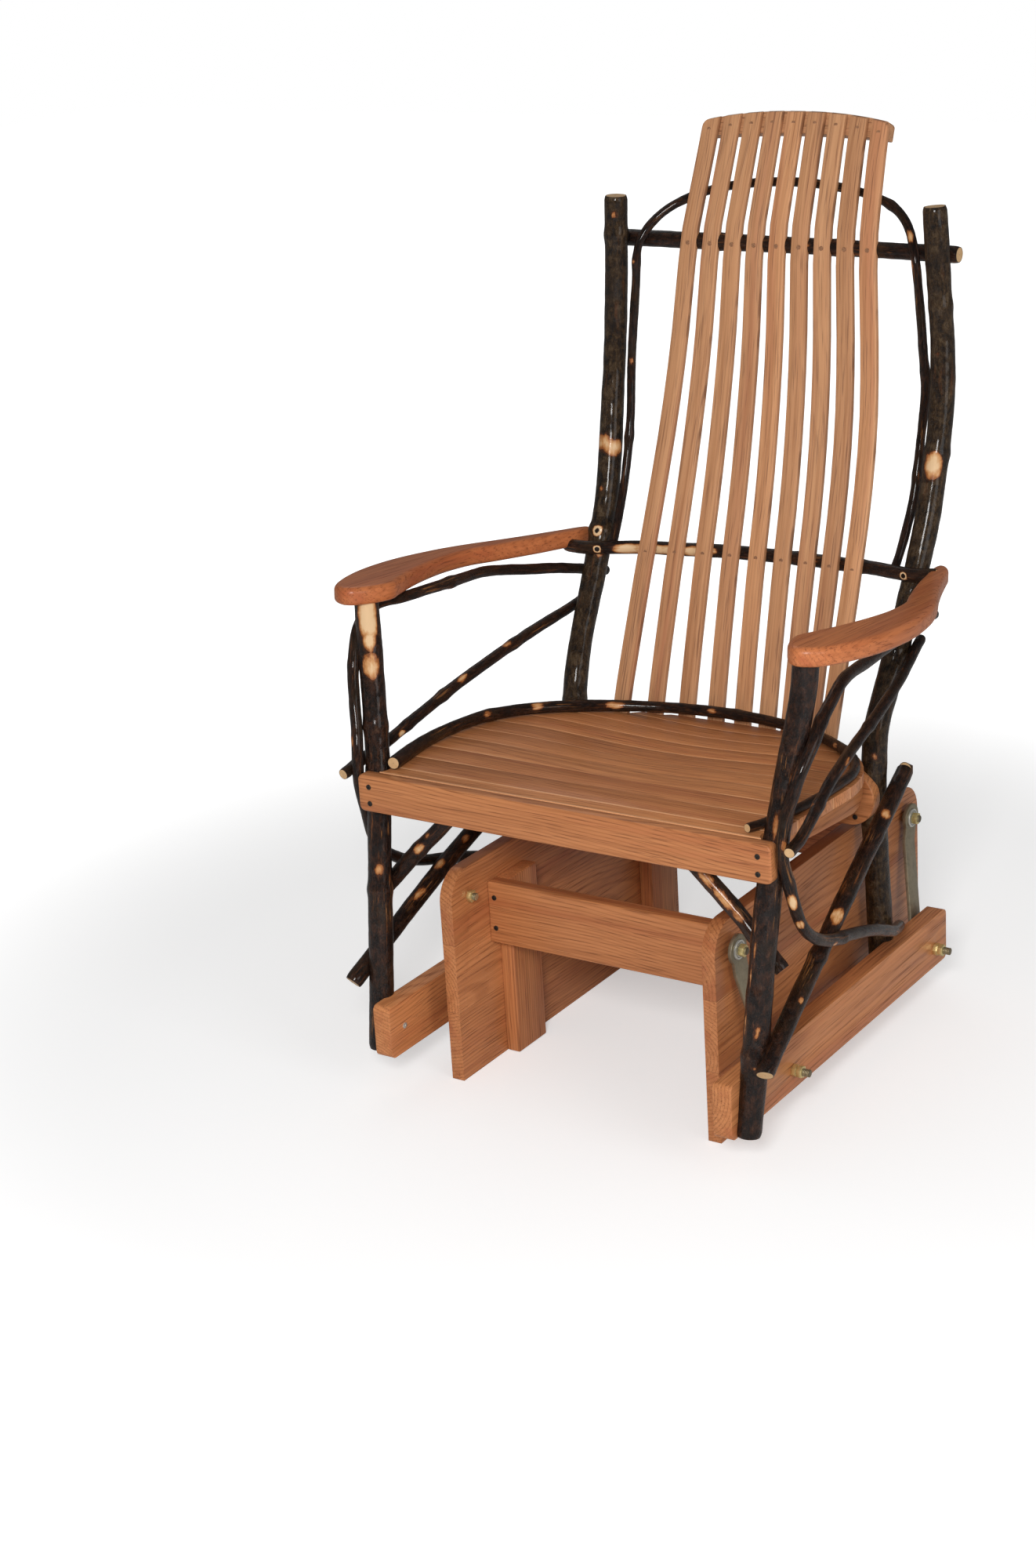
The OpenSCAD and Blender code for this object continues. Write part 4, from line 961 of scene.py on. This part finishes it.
# radii in metres; the rear links' lower bearings have a wide bore, to let the glider swing
bearingLook = {"width": 0.009, "outer": 0.013, "outerWall": 0.0026, "outerRound": 0.0006, "inset": 0.0006,
               "inner": 0.0094, "upperBore": 0.0052, "lowerBore": {"front": 0.00515, "rear": 0.0079},
               "pivotSplit": 0.15}  # height between the upper and the lower pivots
w, outer, inner = bearingLook["width"] / 2, bearingLook["outer"], bearingLook["inner"]
soft, wall, deep = bearingLook["outerRound"], outer - bearingLook["outerWall"], w - bearingLook["inset"]
for body in linkBodies:
    node = body.replace("link", "bearings")
    upper, lower = bearingLook["upperBore"], bearingLook["lowerBore"][body.split("_")[1]]
    spots = [(c, (0, 0, 0)) for c in centres(node)]
    high = [s for s in spots if s[0].z > bearingLook["pivotSplit"]]
    low = [s for s in spots if s not in high]
    rings = lathe("outerRing", [(-w, wall), (-w, outer - soft), (-w + soft, outer), (w - soft, outer),
                                (w, outer - soft), (w, wall)])
    scatter(node + "_rings", rings, spots, metal["bearingSteel"], body, [node])
    shield = lathe("shield", [(-deep, inner), (-deep, wall), (deep, wall), (deep, inner)])
    scatter(node + "_shields", shield, spots, metal["bearingShield"], body)
    for label, bore, group in (("_inner_high", upper, high), ("_inner_low", lower, low)):
        ring = lathe("innerRing", [(-w, bore), (-w, inner), (w, inner), (w, bore)])
        scatter(node + label, ring, group, metal["bearingSteel"], body)

screwLook = {"radius": 0.0036, "boltRadius": 0.0042, "height": 0.001, "drive": 0.36, "turn": 0.4,
             "boltsBelow": 0.2}  # the chair's screws below this height are the side boards' bolts


def screwForm(r):  # a flat round head with a square drive, facing along -y
    h = screwLook["height"]
    bm = bmesh.new()
    rings = []
    for y, q in ((0.0, r), (h * 0.7, r), (h, r * 0.86)):
        turns = [math.pi * k / 12 for k in range(24)]
        rings.append([bm.verts.new((q * math.cos(t), -y, q * math.sin(t))) for t in turns])
    for a, b in zip(rings, rings[1:]):
        bridge(bm, a, b)
    s = r * screwLook["drive"]
    square = [(-s, -s), (s, -s), (s, s), (-s, s)]
    rim = [bm.verts.new((u, -h, v)) for u, v in square]
    deep = [bm.verts.new((u * 0.9, -h * 0.1, v * 0.9)) for u, v in square]
    for i in range(4):
        near = [rings[2][(15 + 6 * i + j) % 24] for j in range(7)]
        bm.faces.new(near[::-1] + [rim[i], rim[(i + 1) % 4]])
    bridge(bm, rim, deep)
    bm.faces.new(deep)
    bm.faces.new(rings[0])
    bmesh.ops.recalc_face_normals(bm, faces=bm.faces)
    splitLongFaces(bm)
    return toMesh(bm, "screw", 30)


for node, body in (("base_screws", "base"), ("frame_screws", "chair")):
    spots = []
    for low, high in boxesIn(node):
        size, middle = high - low, (low + high) / 2
        if size.y < size.x:
            toRear = body == "base" and middle.y > 0
            spot = Vector((middle.x, low.y if toRear else high.y, middle.z))
            spots.append((spot, (0, screwLook["turn"] * len(spots), math.pi if toRear else 0)))
        else:
            toLeft = middle.x > 0
            spot = Vector((high.x if toLeft else low.x, middle.y, middle.z))
            spots.append((spot, (0, 0, -math.pi / 2 if toLeft else math.pi / 2)))
    bright = [s for s in spots if body == "chair" and s[0].z < screwLook["boltsBelow"]]
    dark = [s for s in spots if s not in bright]
    scatter(node + "_heads", screwForm(screwLook["radius"]), dark, metal["darkScrew"], body,
            [node])
    if bright:
        scatter("side_board_bolt_heads", screwForm(screwLook["boltRadius"]), bright, metal["bearingSteel"],
                body)
print("hardware made")

stageLook = {
    "floor": 0.78, "half": 9.0,
    "lift": 0.42, "near": 0.8, "far": 1.9,  # the floor's glow for the camera, up to white at the far radius
    "world": 0.30, "mirror": 0.12,  # the white world's strength on the object and in its reflections
    "lamps": {"key": {"spot": (1.5, -3.2, 2.1), "aim": (0, 0, 0.55), "power": 84.0, "size": 0.8},
              "fill": {"spot": (3.2, -1.2, 1.5), "aim": (0, 0, 0.5), "power": 24.0, "size": 1.6},
              "rim": {"spot": (-1.8, 1.6, 2.6), "aim": (0, 0, 0.7), "power": 5.0, "size": 1.4}},
}
half = stageLook["half"]
floorMesh = bpy.data.meshes.new("floor")
floorMesh.from_pydata([(-half, -half, 0), (half, -half, 0), (half, half, 0), (-half, half, 0)], [],
                      [(0, 1, 2, 3)])
floor = link("floor", floorMesh)
paint = startFinish("floorPaint")
across = paint.split(paint.objectPoint())
far = paint.step((across[0] * across[0] + across[1] * across[1]) ** 0.5, stageLook["near"], stageLook["far"])
cameraRay = paint.add("LightPath", out="Is Camera Ray")
glow = cameraRay * (far * (1.0 - stageLook["lift"]) + stageLook["lift"])
floorMesh.materials.append(paint.end(
    Base_Color=(stageLook["floor"],) * 3, Roughness=0.9, Specular_IOR_Level=0.0,
    Emission_Color=paint.join(glow, glow, glow), Emission_Strength=1.0))

world = bpy.data.worlds.new("studio")
scene.world = world
sky = Finish(world, "ShaderNodeBackground", "ShaderNodeOutputWorld")
glossyRay = sky.add("LightPath", out="Is Glossy Ray")
level = glossyRay * (stageLook["mirror"] - stageLook["world"]) + stageLook["world"]
seen = sky.add("LightPath", out="Is Camera Ray")
sky.end(Color=(1, 1, 1), Strength=seen * (1.0 - level) + level)

for name, look in stageLook["lamps"].items():
    light = bpy.data.lights.new(name, "AREA")
    light.energy = look["power"]
    light.size = look["size"]
    lamp = link(name, light)
    lamp.location = look["spot"]
    lamp.rotation_euler = (Vector(look["aim"]) - lamp.location).to_track_quat("-Z", "Y").to_euler()
print("floor and light made")

# the photograph's camera: degrees, mm, and pixels of the 1322 x 2000 picture
view = {"yaw": 34.4, "pitch": 20.3, "roll": -3.6, "spot": (1757.7, -2638.9, 1639.4), "focal": 3477.3,
        "centre": (662.8, 1000.8), "picture": (1322, 2000), "sensor": 36}
yaw, pitch, roll = (math.radians(view[k]) for k in ("yaw", "pitch", "roll"))
back = Vector((math.sin(yaw) * math.cos(pitch), -math.cos(yaw) * math.cos(pitch), math.sin(pitch)))
side = (-back).cross(Vector((0, 0, 1))).normalized()
up = side.cross(-back)
right = side * math.cos(roll) + up * math.sin(roll)
top = up * math.cos(roll) - side * math.sin(roll)
wide, tall = view["picture"]
cameraData = bpy.data.cameras.new("camera")
cameraData.sensor_fit = "AUTO"
cameraData.sensor_width = view["sensor"]
cameraData.lens = view["focal"] / tall * view["sensor"]
cameraData.shift_x = -(view["centre"][0] - wide / 2) / tall
cameraData.shift_y = (view["centre"][1] - tall / 2) / tall
camera = link("camera", cameraData)
turned = Matrix((right, top, back)).transposed().to_4x4()
camera.matrix_world = Matrix.Translation(place(view["spot"])) @ turned
scene.camera = camera
scene.view_settings.view_transform = "Standard"
